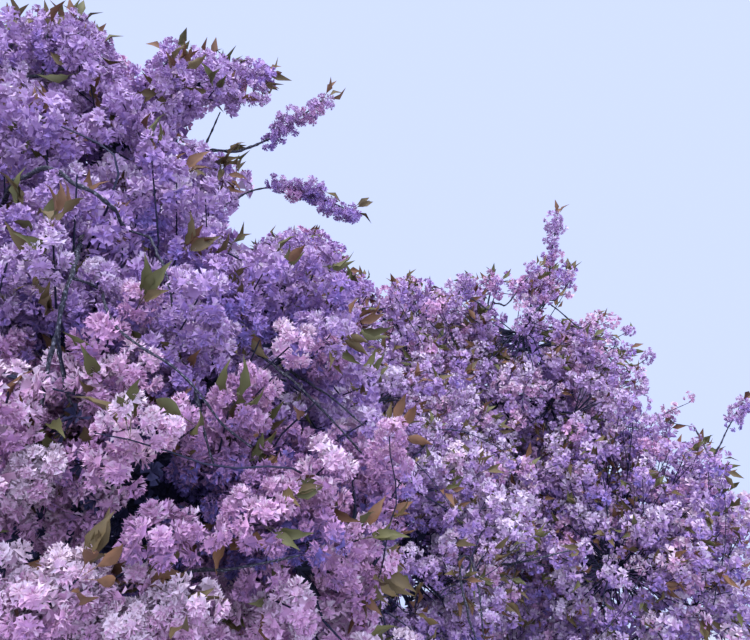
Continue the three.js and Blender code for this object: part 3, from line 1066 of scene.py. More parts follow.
@dataclass
class Petals:
    """Small forms of double flowers: many notched petals in rings, cupped and ruffled."""

    rng: np.random.Generator
    ruffle: float = 0.10
    cup: float = 0.12
    heart: float = 0.6
    spread: float = 0.55

    def petal(self, length: float, width: float, cut: PetalCut) -> Form:
        """Make one petal that lies along +X from the flower's middle, facing +Z.

        Args:
            length: From root to notched tip.
            width: Across its widest part.
            cut: How its outline is cut.

        Returns:
            Vertices, triangles, and how many shades deeper than its spray each triangle is.
        """
        half, rise = width / 2, self.cup * length
        tone = self.rng.uniform(-self.spread, self.spread)
        if cut is PetalCut.CLEFT:
            root = self.rng.uniform(0.35, 0.5) * length
            verts = np.array([[root, 0, 0], [0.90, -half, 0], [0.82, 0, -rise], [0.96, half, 0]])
            verts[1:, 0] *= length
            tris, tones = [[0, 1, 2], [0, 2, 3]], [tone - 0.3, tone + 0.3]
        else:
            root = (0.32 if cut is PetalCut.SCALE else 0.0) * length
            verts = np.array([[root, 0, 0], [length, -half, 0], [0.93 * length, half, 0]])
            tris, tones = [[0, 1, 2]], [tone * (1.3 if cut is PetalCut.SCALE else 1.9)]
        verts[1:] += self.rng.uniform(-1, 1, (len(verts) - 1, 3)) * self.ruffle * length
        return verts, np.array(tris), np.array(tones)

    def flower(self, grade: Grade) -> Form:
        """Make one double flower that faces +Z, one unit in radius.

        Args:
            grade: How finely it is made.

        Returns:
            Vertices, triangles, and how many shades deeper than its spray each triangle is.
        """
        verts, tris, tones, start = [], [], [], 0
        for row, (count, length, width, lift) in enumerate(grade.rings):
            inward = self.heart * (row / max(len(grade.rings) - 1, 1)) ** 3
            for k in range(count):
                v, f, tone = self.petal(length * self.rng.uniform(0.84, 1.1), width, grade.cut)
                bearing = (k + 0.5 * (row % 2) + self.rng.uniform(-0.3, 0.3)) * 2 * math.pi / count
                raise_ = math.radians(lift + self.rng.uniform(-20, 20))
                twist = Matrix.Rotation(self.rng.uniform(-0.8, 0.8), 3, "X")
                spin = Matrix.Rotation(bearing, 3, "Z") @ Matrix.Rotation(-raise_, 3, "Y") @ twist
                verts.append(v @ np.array(spin).T + [0, 0, 0.05 * row])
                tris.append(f + start)
                tones.append(tone + inward)
                start += len(v)
        if grade.cut is not PetalCut.WEDGE:
            angle = np.arange(5) * 2 * math.pi / 5
            rim = 0.6 * np.stack([np.cos(angle), np.sin(angle), 0 * angle], 1)
            verts.append(np.concatenate([rim, [[0, 0, 0.42]]]))
            tris.append(np.array([[k, (k + 1) % 5, 5] for k in range(5)]) + start)
            tones.append(np.full(5, 0.7))
        return np.concatenate(verts), np.concatenate(tris), np.concatenate(tones)

    def spray(self, grade: Grade) -> tuple[np.ndarray, np.ndarray, np.ndarray, np.ndarray]:
        """Make one spray of flowers round the end of a spur that comes from -Z.

        Args:
            grade: How finely it is made.

        Returns:
            Vertices, triangles, and for each triangle its shade as in a flower and the way it lies outward.
        """
        k = np.arange(grade.flowers)
        up = 1 - 1.8 * (k + 0.5) / grade.flowers
        ring = np.sqrt(1 - up**2)
        out = np.stack([ring * np.cos(k * GOLDEN_ANGLE), ring * np.sin(k * GOLDEN_ANGLE), up], 1)
        out = unit(out + self.rng.uniform(-0.3, 0.3, out.shape))
        facing = unit(out + self.rng.uniform(-0.3, 0.3, out.shape))
        turns = frames_along(facing, self.rng.uniform(0, 6.28, grade.flowers))
        verts, tris, tones, faced, start = [], [], [], [], 0
        for j in range(grade.flowers):
            v, f, tone = self.flower(grade)
            size = grade.flower_radius * self.rng.uniform(0.86, 1.12)
            verts.append(v @ turns[j].T * size + out[j] * grade.ball * self.rng.uniform(0.7, 1.1))
            tris.append(f + start)
            tones.append(tone)
            faced.append(unit(0.6 * facing[j] + v[f].mean(1) @ turns[j].T))
            start += len(v)
        return np.concatenate(verts), np.concatenate(tris), np.concatenate(tones), np.concatenate(faced)


@dataclass(frozen=True)
class Leaf:
    """A young leaf of unit length along +Z on its stalk: folded on its midrib, pleated and curled back."""

    width: float = 0.36
    fold: float = 0.14
    curl: float = 0.34
    pleat: float = 0.04
    stalk: float = 0.7

    def form(self, fine: bool) -> tuple[np.ndarray, np.ndarray]:
        """Make the leaf.

        Args:
            fine: Whether it has pleats and a toothed edge, or only its outline.

        Returns:
            Vertices and triangles.
        """
        half, rows = self.width / 2, [(0.48, 1.0, 0.0)]
        if fine:
            rows = [(0.12, 0.42, 1), (0.28, 0.90, -1), (0.45, 1.0, 1), (0.62, 0.80, -1), (0.79, 0.42, 1)]
        verts = [[0, 0, 0]]
        for t, share, side in rows:
            sag = -self.curl * t * t
            edge = sag + self.fold * share + self.pleat * side
            jut = t - 0.02 * side
            verts += [[-half * share, edge, jut], [0, sag, t + 0.02], [half * share, edge, jut]]
        verts.append([0, -self.curl * 1.2, 1.0])
        tris = [[0, 2, 1], [0, 3, 2]]
        for row in range(len(rows) - 1):
            a = 1 + 3 * row
            tris += [[a, a + 1, a + 4], [a, a + 4, a + 3], [a + 1, a + 2, a + 5], [a + 1, a + 5, a + 4]]
        a = 1 + 3 * (len(rows) - 1)
        tris += [[a, a + 1, a + 3], [a + 1, a + 2, a + 3]]
        last = len(verts)
        verts += [[-0.014, 0, 0.02], [0.014, 0, 0.02], [0, 0.03, -self.stalk]]
        tris.append([last, last + 1, last + 2])
        return np.array(verts), np.array(tris)


@dataclass(frozen=True)
class Shoot:
    """A branch that shows by itself: pixels across and down the picture, and metres ahead of the eye."""

    course: tuple[tuple[float, float, float], ...]
    thick: float
    thin: float
    bare: float = 1.0
    gap: float = 0.06
    size: float = 0.8
    leaves: int = 0


SHOOTS = (
    Shoot(
        (
            (188, 150, 3.1), (212, 151, 3.1), (236, 152, 3.15), (258, 145, 3.2), (284, 128, 3.2),
            (322, 101, 3.2),
        ),
        0.008, 0.003, 0.5, 0.075, 0.8, 4,
    ),
    Shoot(((203, 151, 3.1), (211, 132, 3.1), (220, 112, 3.1)), 0.005, 0.003),
    Shoot(
        ((204, 214, 3.2), (226, 206, 3.3), (250, 190, 3.4), (276, 186, 3.4), (318, 190, 3.4)),
        0.006, 0.003, 0.62, 0.07, 0.72, 1,
    ),
    Shoot(((302, 189, 3.4), (320, 198, 3.4), (350, 210, 3.4)), 0.004, 0.003, 0.02, 0.075, 0.85, 5),
    Shoot(((546, 300, 4.9), (551, 262, 4.9), (557, 218, 4.9)), 0.008, 0.003, 0.02, 0.085, 0.8, 3),
    Shoot(((640, 430, 4.6), (668, 412, 4.6), (690, 402, 4.6)), 0.004, 0.002, 0.98, 0.3, 0.62),
    Shoot(((655, 420, 4.6), (694, 427, 4.6)), 0.004, 0.002, 0.98, 0.3, 0.58),
    Shoot(((712, 462, 4.4), (722, 440, 4.4), (741, 404, 4.4)), 0.006, 0.003, 0.62, 0.06, 0.9, 2),
    Shoot(((600, 345, 4.8), (626, 333, 4.8)), 0.005, 0.002, 0.6, 0.09, 0.8, 1),
    Shoot(((620, 376, 4.8), (648, 358, 4.8)), 0.005, 0.002, 0.8, 0.09, 0.8),
    Shoot(((450, 305, 4.4), (467, 281, 4.4)), 0.006, 0.003, 0.3, 0.09, 0.8, 1),
    Shoot(((490, 312, 4.6), (498, 284, 4.6)), 0.005, 0.003, 0.4, 0.09, 0.7, 1),
    Shoot(((505, 306, 4.8), (534, 270, 4.8)), 0.006, 0.003, 0.3, 0.09, 0.8, 2),
    Shoot(((556, 300, 4.9), (572, 278, 4.9)), 0.005, 0.003, 0.5, 0.09, 0.8, 1),
    Shoot(((16, 80, 2.5), (10, 50, 2.5), (14, 30, 2.5)), 0.006, 0.003, 0.1, 0.09, 0.95, 4),
    Shoot(((44, 76, 2.5), (42, 50, 2.5), (48, 34, 2.5)), 0.006, 0.003, 0.1, 0.09, 0.95, 4),
    Shoot(((64, 70, 2.5), (72, 50, 2.5), (78, 30, 2.5)), 0.006, 0.003, 0.1, 0.09, 0.9, 5),
    Shoot(((150, 84, 2.8), (172, 56, 2.8)), 0.006, 0.003, 0.3, 0.08, 0.8, 5),
    Shoot(((196, 88, 3.0), (232, 78, 3.0), (262, 76, 3.0)), 0.006, 0.003, 0.1, 0.06, 0.9, 6),
    Shoot(
        (
            (4, 200, 2.0), (22, 176, 1.84), (44, 168, 1.74), (62, 173, 1.72), (72, 188, 1.72),
            (94, 190, 1.72), (112, 208, 1.74), (128, 230, 1.85),
        ),
        0.0070, 0.005,
    ),
    Shoot(
        (
            (84, 236, 1.9), (74, 262, 1.62), (66, 300, 1.54), (56, 340, 1.50), (46, 380, 1.47),
            (32, 430, 1.46), (40, 462, 1.48), (60, 488, 1.6),
        ),
        0.0068, 0.004,
    ),
    Shoot(((58, 330, 1.52), (64, 392, 1.5), (88, 430, 1.55)), 0.005, 0.002),
    Shoot(((-6, 372, 1.48), (40, 386, 1.46), (92, 398, 1.5)), 0.0032, 0.002),
    Shoot(
        (
            (102, 290, 1.7), (112, 326, 1.52), (136, 344, 1.48), (166, 362, 1.48), (192, 386, 1.48),
            (222, 424, 1.50), (252, 448, 1.6),
        ),
        0.0038, 0.0025,
    ),
    Shoot(((150, 236, 1.9), (160, 256, 1.68), (170, 286, 1.62), (175, 328, 1.64)), 0.0036, 0.0025),
    Shoot(((194, 390, 1.50), (204, 426, 1.50), (214, 466, 1.54)), 0.0038, 0.002),
    Shoot(((248, 346, 2.1), (292, 380, 1.86), (328, 416, 1.86), (362, 452, 1.92)), 0.0042, 0.003),
    Shoot(((-20, 525, 1.5), (14, 500, 1.42), (34, 478, 1.4)), 0.003, 0.002, 0.2, 0.05, 0.95, 3),
    Shoot(((-20, 640, 1.42), (38, 606, 1.36), (80, 576, 1.36)), 0.003, 0.002, 0.1, 0.045, 1.0, 4),
    Shoot(((84, 668, 1.42), (124, 636, 1.36), (162, 622, 1.38)), 0.003, 0.002, 0.2, 0.05, 1.0, 4),
    Shoot(((292, 372, 2.1), (330, 396, 1.92), (364, 426, 1.95)), 0.005, 0.002),
    Shoot(((186, 572, 1.56), (240, 568, 1.50), (300, 556, 1.56)), 0.0045, 0.002),
    Shoot(((496, 566, 3.7), (532, 560, 3.5), (570, 551, 3.55)), 0.008, 0.004),
    Shoot(((458, 556, 3.3), (464, 600, 3.05), (478, 644, 3.05)), 0.0075, 0.004),
    Shoot(((470, 556, 3.3), (480, 596, 3.05), (484, 644, 3.05)), 0.006, 0.003),
)


@dataclass
class Sites:
    """Where the sprays of flowers and the leaves of one mass go."""

    places: list[np.ndarray] = field(default_factory=list)
    axes: list[np.ndarray] = field(default_factory=list)
    sizes: list[float] = field(default_factory=list)
    leaf_places: list[np.ndarray] = field(default_factory=list)
    leaf_axes: list[np.ndarray] = field(default_factory=list)

    def add_spray(self, place: np.ndarray, axis: np.ndarray, size: float = 1.0) -> None:
        """Set one spray of flowers.

        Args:
            place: Where it is.
            axis: The direction it faces.
            size: How large it is, 1 being the usual.
        """
        self.places.append(place)
        self.axes.append(axis)
        self.sizes.append(size)

    def add_tuft(
        self, place: np.ndarray, axis: np.ndarray, count: int, off: float, rng: np.random.Generator
    ) -> None:
        """Set a tuft of leaves that fan out round one direction.

        Args:
            place: Where they spring from.
            axis: The direction in their midst.
            count: How many.
            off: How far out their stalks end.
            rng: Where the chances come from.
        """
        for _ in range(count):
            away = unit(axis + rng.normal(0, 0.42, 3))
            self.leaf_places.append(place + away * off)
            self.leaf_axes.append(away)


@dataclass
class Sprays:
    """Sprays of flowers that are kept: where they are, how they are turned, and their shades, which hold painted
    light and shade.
    """

    places: np.ndarray
    turns: np.ndarray
    level: np.ndarray
    warm: np.ndarray

    @classmethod
    def joined(cls, groups: list[Sprays]) -> Sprays:
        """Join groups of sprays into one."""
        names = ("places", "turns", "level", "warm")
        return cls(*(np.concatenate([getattr(group, name) for group in groups]) for name in names))


@dataclass
class Canopy:
    """All that grows beyond the boughs: branches, twigs, sprays of flowers and young leaves."""

    masses: list[Mass]
    limits: tuple[np.ndarray, np.ndarray]
    eye: Eye = Eye()
    outline: Outline = Outline()
    candidates: int = 860
    shaded: int = 124
    variants: int = 6
    whips: int = 64
    heart: float = 0.55
    lump_size: tuple[float, float, float] = (0.25, 0.25, 0.19)
    lump_cut: float = -0.26
    far_cut: float = 0.05
    overhang: float = 0.10
    # Painted light: how much paler petals are dealt when they face up, and deeper when they face down.
    painted_facing_light: float = 1.15
    calm: float = 0.5
    branch_girth: tuple[float, float] = (0.016, 0.006)
    twig_girth: tuple[float, float] = (0.0056, 0.0024)
    whip_girth: tuple[float, float] = (0.0046, 0.0016)
    tuft_twig: tuple[float, float] = (0.0024, 0.0010)
    tuft_share: tuple[float, float] = (0.16, 0.68)
    near_tuft: float = 2.6
    # Tufts lower and nearer the eye than these are dealt the near-black painted shade.
    painted_dark_below: float = 2.4
    painted_dark_within: float = 4.4
    stout_from: float = 0.0035
    spray_clear: float = 0.045
    leaf_clear: float = 0.03
    leaf_sizes: tuple[float, float] = (0.060, 0.098)
    # The hollow in the picture, where shades are painted deeper and dark tufts are more.
    hollow_middle: tuple[float, float] = (240.0, 500.0)
    hollow_half: tuple[float, float] = (110.0, 80.0)
    hollow_ahead: tuple[float, float] = (1.35, 3.8)
    leaf_chance: tuple[tuple[float, float], ...] = ((0.45, 0.15), (0.50, 0.18), (0.20, 0.05))
    trails: list[np.ndarray] = field(default_factory=list)
    stout: list[tuple[np.ndarray, np.ndarray]] = field(default_factory=list)

    def grades_of(self, points: np.ndarray) -> np.ndarray:
        """Tell the grade of each point: by distance where the eye sees it, and the last elsewhere.

        Args:
            points: Points in the tree's frame.

        Returns:
            The place of each point's grade among the grades.
        """
        points = np.atleast_2d(points)
        grade = np.searchsorted([g.within for g in GRADES], self.eye.distance(points))
        return np.where(self.eye.sees(points) & ~self.hidden(points), grade, len(GRADES) - 1)

    def hidden(self, points: np.ndarray) -> np.ndarray:
        """Tell which points have the heart of some mass between them and the eye.

        Args:
            points: Points in the tree's frame.

        Returns:
            True where a point is hidden so.
        """
        start = np.array(self.eye.place)
        found = np.zeros(len(points), dtype=bool)
        for mass in self.masses:
            origin = (start - mass.centre) @ mass.axes.T / mass.halves
            way = (points - start) @ mass.axes.T / mass.halves
            share = np.clip(-(way @ origin) / np.maximum((way**2).sum(1), 1e-9), 0, 1)
            found |= (((origin + way * share[:, None]) ** 2).sum(1) < self.heart**2) & (share < 0.98)
        return found

    def past_edge(self, points: np.ndarray, clear: float) -> np.ndarray:
        """Tell which points stand past the crown's edge, or in an opening of it, as the eye sees it.

        Args:
            points: Points in the tree's frame.
            clear: How far round each must be clear, in metres.

        Returns:
            True where the crown is open.
        """
        across, down, ahead = self.eye.project(points)
        size = clear * self.eye.scale / np.maximum(ahead, 0.3)
        front = (ahead > 0.3) & (across > -150) & (across < 900) & (down > -600)
        return front & self.outline.open_at(across, down, size)

    def lumps(self, points: np.ndarray) -> np.ndarray:
        """Give a slowly varying number that is high in a lump of blossom and low in the gaps between."""
        return np.array([noise.noise(Vector(p)) for p in points / np.array(self.lump_size)])

    def in_lump(self, points: np.ndarray, slack: float) -> np.ndarray:
        """Tell which points lie in a lump of blossom. The gaps between lumps are narrower far from the eye.

        Args:
            points: Points in the tree's frame.
            slack: How far outside a lump still counts.

        Returns:
            True where blossom may be.
        """
        away = self.eye.distance(points)
        cut = self.lump_cut - self.far_cut * np.clip((away - 2.3) / 1.5, 0, 1) + 0.30 * self.hollow(points)
        return self.lumps(points) > cut - slack

    def hollow(self, points: np.ndarray) -> np.ndarray:
        """Tell how deep each point lies in the hollow left of the middle of the picture, which is darkened with
        painted shade.

        Args:
            points: Points in the tree's frame.

        Returns:
            A number for each, from 0 outside to 1 in its middle.
        """
        (x, y), (wide, high), (first, last) = self.hollow_middle, self.hollow_half, self.hollow_ahead
        across, down, ahead = self.eye.project(points)
        deep = np.exp(-(((across - x) / wide) ** 2) - ((down - y) / high) ** 2)
        return deep * np.clip((ahead - first) / 0.3, 0, 1) * np.clip((last - ahead) / 0.5, 0, 1)

    def height(self, points: np.ndarray) -> np.ndarray:
        """Tell how far up the crown each point is, from 0 below eye level to 1 in its top."""
        return np.clip((points[:, 2] - 2.2) / 1.0, 0, 1)

    def branches(self, mass: Mass) -> list[tuple[GrowthLine, float, float]]:
        """Grow the stem and the first branches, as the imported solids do.

        Args:
            mass: The mass of blossom.

        Returns:
            Lines with the radius at each end, the stem first.
        """
        rand = SeededRun(mass.seed)
        tip = mass.tier.bough.tip
        stem_end = mass.centre + mass.axes[0] * mass.halves[0] * 0.25
        stem = GrowthLine(mass.entry, mass.arrive, stem_end, mass.axes[0], 0.0, (rand(), rand()))
        knots = stem.at(np.linspace(0, 1, 4))
        every, out = mass.directions(44, mass.seed)
        cut = 0.97 * mass.reach(every) < 0.8 * mass.free_reach(every)
        chosen = every[(out > -0.22) & ~cut]
        lines = [(stem, tip, tip * 0.55)]
        for k in range(9):
            direction = chosen[int((k + 0.5) * len(chosen) / 9)]
            root = knots[1 + k % 3] * 0.7 + mass.centre * 0.3
            far = mass.reach(direction[None])[0]
            phases = (rand() * 2 * math.pi, rand() * 2 * math.pi)
            for share in (0.93, 0.8, 0.67, 0.54):
                end = mass.centre + direction * far * share
                leave = unit(end - root + mass.axes[0] * 0.15)
                line = GrowthLine(root, leave, end, unit(direction + UP * 0.35), 0.06, phases)
                if not self.past_edge(line.at(np.linspace(0, 1, 8)), 0.02).any():
                    lines.append((line, *self.branch_girth))
                    break
        return lines

    def grow(self, mass: Mass, rng: np.random.Generator) -> tuple[Sites, Tubes]:
        """Grow one mass.

        Args:
            mass: The mass of blossom.
            rng: Where its chances come from.

        Returns:
            The places of its flowers and leaves, and its wood as lines of points, radii and sides.
        """
        sites, wood = Sites(), []
        lines = self.branches(mass)
        t = np.linspace(0, 1, 10)
        trails = np.stack([line.at(t) for line, _, _ in lines])
        for (_, thick, thin), trail in zip(lines, trails):
            wood.append((trail[None], (thick + (thin - thick) * t)[None], 5))
        for trail in trails[1:]:
            self.flower_along(mass, trail, 0.55, sites, rng)
        hosts = trails.reshape(-1, 3)
        self.trails.append(hosts)
        slopes = unit(np.gradient(trails, axis=1)).reshape(-1, 3)
        directions, out = mass.directions(self.candidates, mass.seed * 0.37)
        free, far = mass.free_reach(directions), mass.reach(directions)
        share = 0.97 - 0.34 * rng.random(self.candidates) ** 1.4
        ends = mass.centre + directions * (far * share)[:, None]
        grade = self.grades_of(ends)
        chance = np.array([g.chance for g in GRADES])[grade]
        seen = grade < len(GRADES) - 1
        chance = chance * np.where(seen, 1.0, np.where(far < 0.8 * free, 0.4, np.where(out < -0.3, 0.5, 1.0)))
        keep = (rng.random(self.candidates) < chance) & ~self.past_edge(ends, 0.045)
        keep &= self.in_lump(ends, 0.12)
        twigs: dict[int, list[np.ndarray]] = {}
        for aim, direction, g in zip(ends[keep], directions[keep], grade[keep]):
            way = aim - hosts
            span = np.linalg.norm(way, axis=1)
            bend = 1 - (unit(way) * slopes).sum(1)
            host = int(np.argmin(span * (1 + 0.55 * bend) + (span < 0.12) * 9))
            leave = unit(unit(way[host]) + slopes[host] * 0.8 + rng.normal(0, 0.12, 3))
            arrive = unit(direction + UP * 0.5 + rng.normal(0, 0.25, 3))
            line = GrowthLine(hosts[host], leave, aim, arrive, 0.07, tuple(rng.uniform(0, 6.28, 2)))
            trail = line.at(np.linspace(0, 1, GRADES[g].twig_knots))
            if not self.past_edge(trail, 0.02).any():
                twigs.setdefault(len(trail), []).append(trail)
                self.flower_along(mass, trail, 0.42, sites, rng)
        for knots, group in twigs.items():
            radii = np.linspace(*self.twig_girth, knots)
            wood.append((np.array(group), np.tile(radii, (len(group), 1)), 3))
        for trail in self.whip_trails(mass, hosts, rng):
            wood.append((trail[None], np.linspace(*self.whip_girth, len(trail))[None], 3))
            self.flower_along(mass, trail, 0.75, sites, rng)
        return sites, wood

    def whip_trails(self, mass: Mass, hosts: np.ndarray, rng: np.random.Generator) -> list[np.ndarray]:
        """Lay long thin twigs over the outside of a mass, where they show among the flowers.

        Args:
            mass: The mass of blossom.
            hosts: Points of the branches that they spring from.
            rng: Where the chances come from.

        Returns:
            The points of each.
        """
        directions, out = mass.directions(self.whips, mass.seed * 0.83)
        made = []
        for direction, outward in zip(directions, out):
            start = mass.centre + direction * mass.reach(direction[None])[0] * 0.9
            sweep = unit(rng.normal(0, 1, 3) - UP * 0.5)
            aside = (sweep - (sweep @ direction) * direction) * 0.8
            aims = unit(direction + np.linspace(0, 1, 9)[:, None] ** 1.1 * aside)
            grade = int(self.grades_of(start)[0])
            if outward < -0.1 or grade == len(GRADES) - 1 or (grade < 2 and rng.random() < 0.75):
                continue
            away = mass.reach(aims) * np.linspace(0.93, 0.99, 9) + np.linspace(0, 0.045, 9)
            run = mass.centre + aims * away[:, None]
            run[1:-1] += rng.normal(0, 0.010, (7, 3))
            host = hosts[int(np.argmin(np.linalg.norm(hosts - start, axis=1)))]
            lead = host + (run[0] - host) * np.linspace(0, 0.9, 5)[:, None]
            trail = np.concatenate([lead, run])
            trail[1:-1] += rng.normal(0, 0.010, (len(trail) - 2, 3))
            smooth(trail)
            if not self.past_edge(trail, 0.01).any():
                made.append(trail)
        return made

    def flower_along(
        self, mass: Mass, trail: np.ndarray, bare: float, sites: Sites, rng: np.random.Generator
    ) -> None:
        """Set sprays of flowers beside the outer part of a twig, and tufts of leaves among them.

        Args:
            mass: The mass that it belongs to.
            trail: The twig's points.
            bare: The share of its length that carries nothing.
            sites: Where the places are added.
            rng: Where its chances come from.
        """
        steps = np.linalg.norm(np.diff(trail, axis=0), axis=1)
        length = steps.sum()
        grade = int(self.grades_of(trail[-1])[0])
        count = max(1, int(length * (1 - bare) / GRADES[grade].spur_gap))
        at_tip, at_side = self.leaf_chance[0 if grade < 2 else 1 if grade < 5 else 2]
        reached = np.concatenate([[0], np.cumsum(steps)]) / length
        for j in range(count):
            t = 1 - (1 - bare) * (j + (rng.random() * 0.6 if j else 0)) / count
            point = points_at(t, reached, trail)
            seg = min(int(np.searchsorted(reached, t)), len(trail) - 1)
            slope = unit(trail[seg] - trail[max(seg - 1, 0)])
            bearing = rng.uniform(0, 6.28)
            side = unit(np.cross(slope, [math.cos(bearing), math.sin(bearing), 0.3]))
            outward = unit(point - mass.centre)
            axis = unit(side * (0.2 if j == 0 else 1.0) + slope * (1.0 if j == 0 else 0.25) + outward * 0.45)
            spur = 0.01 if j == 0 else rng.uniform(0.03, 0.055)
            sites.add_spray(point + axis * spur, axis)
            if rng.random() < (at_tip if j == 0 else at_side):
                lean = unit(axis * 0.4 + outward * 0.6 + rng.normal(0, 0.5, 3))
                sites.add_tuft(point, lean, int(rng.integers(2, 7)), 0.04, rng)

    def grow_shoots(self, rng: np.random.Generator) -> tuple[Sites, Tubes]:
        """Grow the branches that show by themselves, each led from a near branch close to its line of sight.

        Args:
            rng: Where the chances come from.

        Returns:
            The places of their flowers and leaves, and their wood.
        """
        sites, wood = Sites(), []
        hosts = np.concatenate(self.trails)
        for shoot in SHOOTS:
            marks = np.array([self.eye.point(*place) for place in shoot.course])
            reached = reached_along(marks)
            t = np.linspace(0, reached[-1], 6 * len(marks))
            run = points_at(t, reached, marks)
            smooth(run, 3)
            sight, way = unit(run[0] - np.array(self.eye.place)), hosts - run[0]
            aside = np.linalg.norm(way - (way @ sight)[:, None] * sight, axis=1)
            host = hosts[int(np.argmin(np.linalg.norm(way, axis=1) + 3 * aside))]
            lead = host + (run[0] - host) * np.linspace(0, 0.93, 6)[:, None]
            path = np.concatenate([lead, run])
            smooth(path, 2)
            radii = np.interp(np.arange(len(path)), [0, 6, len(path)], [shoot.thick, shoot.thick, shoot.thin])
            if shoot.thick >= self.stout_from:
                self.stout.append(self.gnarled(path, radii, rng))
            else:
                wood.append((path[None], radii[None], 4))
            count = int(reached[-1] * (1 - shoot.bare) / shoot.gap + 1) if shoot.bare < 1 else 0
            slope = unit(run[-1] - run[-3])
            hosts = np.concatenate([hosts, run])
            for j in range(count):
                share = 1 - (1 - shoot.bare) * (j + 0.3 * rng.random()) / count
                point = points_at(share * t[-1], t, run)
                for _ in range(int(rng.integers(2, 4)) if shoot.gap < 0.1 else 1):
                    axis = unit(slope * 0.3 + rng.normal(0, 0.6, 3))
                    sites.add_spray(point + axis * 0.03, axis, shoot.size * rng.uniform(0.7, 1.05))
            if shoot.leaves:
                sites.add_tuft(run[-1], unit(slope + UP * 0.3), shoot.leaves, 0.04, rng)
        return sites, wood

    def gnarled(
        self, path: np.ndarray, radii: np.ndarray, rng: np.random.Generator
    ) -> tuple[np.ndarray, np.ndarray]:
        """Give a limb kinks and knuckles where old spurs have been.

        Args:
            path: The limb's points.
            radii: Its radius at each.
            rng: Where the chances come from.

        Returns:
            Closer points and their radii.
        """
        reached = reached_along(path)
        s = np.linspace(0, reached[-1], max(12, int(reached[-1] / 0.011)))
        run = points_at(s, reached, path)
        girth = np.interp(s, reached, radii)
        marks = np.arange(0, reached[-1] + 0.06, 0.055)
        sway = rng.normal(0, 0.55, (len(marks), 3))
        sway[0] = 0
        run += points_at(s, marks, sway) * girth[:, None]
        knuckle = np.abs(s[:, None] - (marks + rng.uniform(-0.02, 0.02, len(marks)))[None]).min(1)
        return run, girth * (0.86 + 0.42 * np.exp(-((knuckle / 0.008) ** 2)))

    def before_limb(self, points: np.ndarray, clear: float) -> np.ndarray:
        """Tell which points would hide one of the stout limbs from the eye.

        Args:
            points: Points in the tree's frame.
            clear: How far beside a limb a point must lie, in metres.

        Returns:
            True where a point stands in front of a limb.
        """
        found = np.zeros(len(points), dtype=bool)
        across, down, ahead = self.eye.project(points)
        close = np.flatnonzero(self.eye.sees(points) & (ahead < 2.2))
        for path, _ in self.stout:
            x, y, depth = self.eye.project(path[len(path) // 4:])
            aside = np.hypot(across[close, None] - x, down[close, None] - y)
            aside = aside / self.eye.scale * ahead[close, None]
            found[close] |= ((aside < clear) & (ahead[close, None] < depth + 0.02)).any(1)
        return found

    def level_of(self, mass: Mass, places: np.ndarray, rng: np.random.Generator) -> np.ndarray:
        """Deal a shade to each spray, as painted light and shade: pale on top of a lump, deeper under it, inside,
        high up near the crown's edge, at middle distance from the eye and in the hollow; a part is random.

        Args:
            mass: The mass that the sprays belong to.
            places: Where the sprays are.
            rng: Where the chances come from.

        Returns:
            A number for each spray, about 0 for the palest shade and 5 for the deepest.
        """
        inner = ((places - mass.centre) @ mass.axes.T / mass.halves) ** 2
        # Painted shade: sprays deep inside the mass are dealt deeper shades.
        painted_inner_shade = np.clip(0.86 - np.sqrt(inner.sum(1)), 0, 0.6)
        # Painted light: sprays on top of a lump are dealt paler shades, those under it deeper ones.
        up = UP * 0.05
        top = self.lumps(places - up) - self.lumps(places + up)
        drift = 0.2 * math.sin(mass.seed * 1.7)
        # Painted shade: sprays near the crown's upper edge in the picture are dealt deeper shades.
        across, down, _ = self.eye.project(places)
        rim = np.exp(-np.clip(self.outline.below_edge(across, down), 0, 400) / 45)
        local = 4.0 * painted_inner_shade - 2.0 * top + rng.normal(0, 0.35, len(places))
        # Painted shade: sprays at middle distance from the eye are dealt deeper shades.
        away = self.eye.distance(places)
        middle = np.exp(-(((away - 2.3) / 0.6) ** 2))
        # Painted light and shade are weaker high up; the hollow gets deeper painted shade.
        calm = 1 - self.calm * self.height(places)
        return 1.1 + drift + calm * local + 0.5 * rim + 0.5 * middle + 2.2 * self.hollow(places)

    def shade_inside(self, mass: Mass, rng: np.random.Generator) -> tuple[np.ndarray, np.ndarray, np.ndarray]:
        """Place the dark tufts, painted shade, that fill a mass behind its outer blossom.

        Args:
            mass: The mass of blossom.
            rng: Where the chances come from.

        Returns:
            Their places, turns that set them, and whether each is near the eye.
        """
        directions, _ = mass.directions(self.shaded, mass.seed * 0.61)
        share = rng.uniform(*self.tuft_share, self.shaded)
        places = mass.centre + directions * (mass.reach(directions) * share)[:, None]
        # More dark tufts go into the hollow, as painted shade.
        copies = np.where(self.hollow(places) > 0.2, 4, 1)
        places, directions = np.repeat(places, copies, axis=0), np.repeat(directions, copies, axis=0)
        places += rng.normal(0, 0.09, places.shape) * (np.repeat(copies, copies) > 1)[:, None]
        free = ~self.past_edge(places, 0.20)
        axes = unit(directions + rng.normal(0, 0.5, directions.shape))
        turns = frames_along(axes, rng.uniform(0, 6.28, len(axes)))
        near = self.eye.distance(places) < self.near_tuft
        return places[free], turns[free], near[free]

    def twigs_to(self, places: np.ndarray, wood: Tubes) -> tuple[np.ndarray, np.ndarray]:
        """Make a thin twig to each shaded tuft from the nearest wood of its mass.

        Args:
            places: Where the tufts are.
            wood: The branches and twigs of the mass.

        Returns:
            Vertices and triangles.
        """
        hosts = np.concatenate([points.reshape(-1, 3) for points, _, _ in wood])
        nearest = [hosts[int(np.argmin(((hosts - place) ** 2).sum(1)))] for place in places]
        lines = np.stack([np.array(nearest), places], 1)
        return tubes(lines, np.tile(self.tuft_twig, (len(places), 1)), 3)

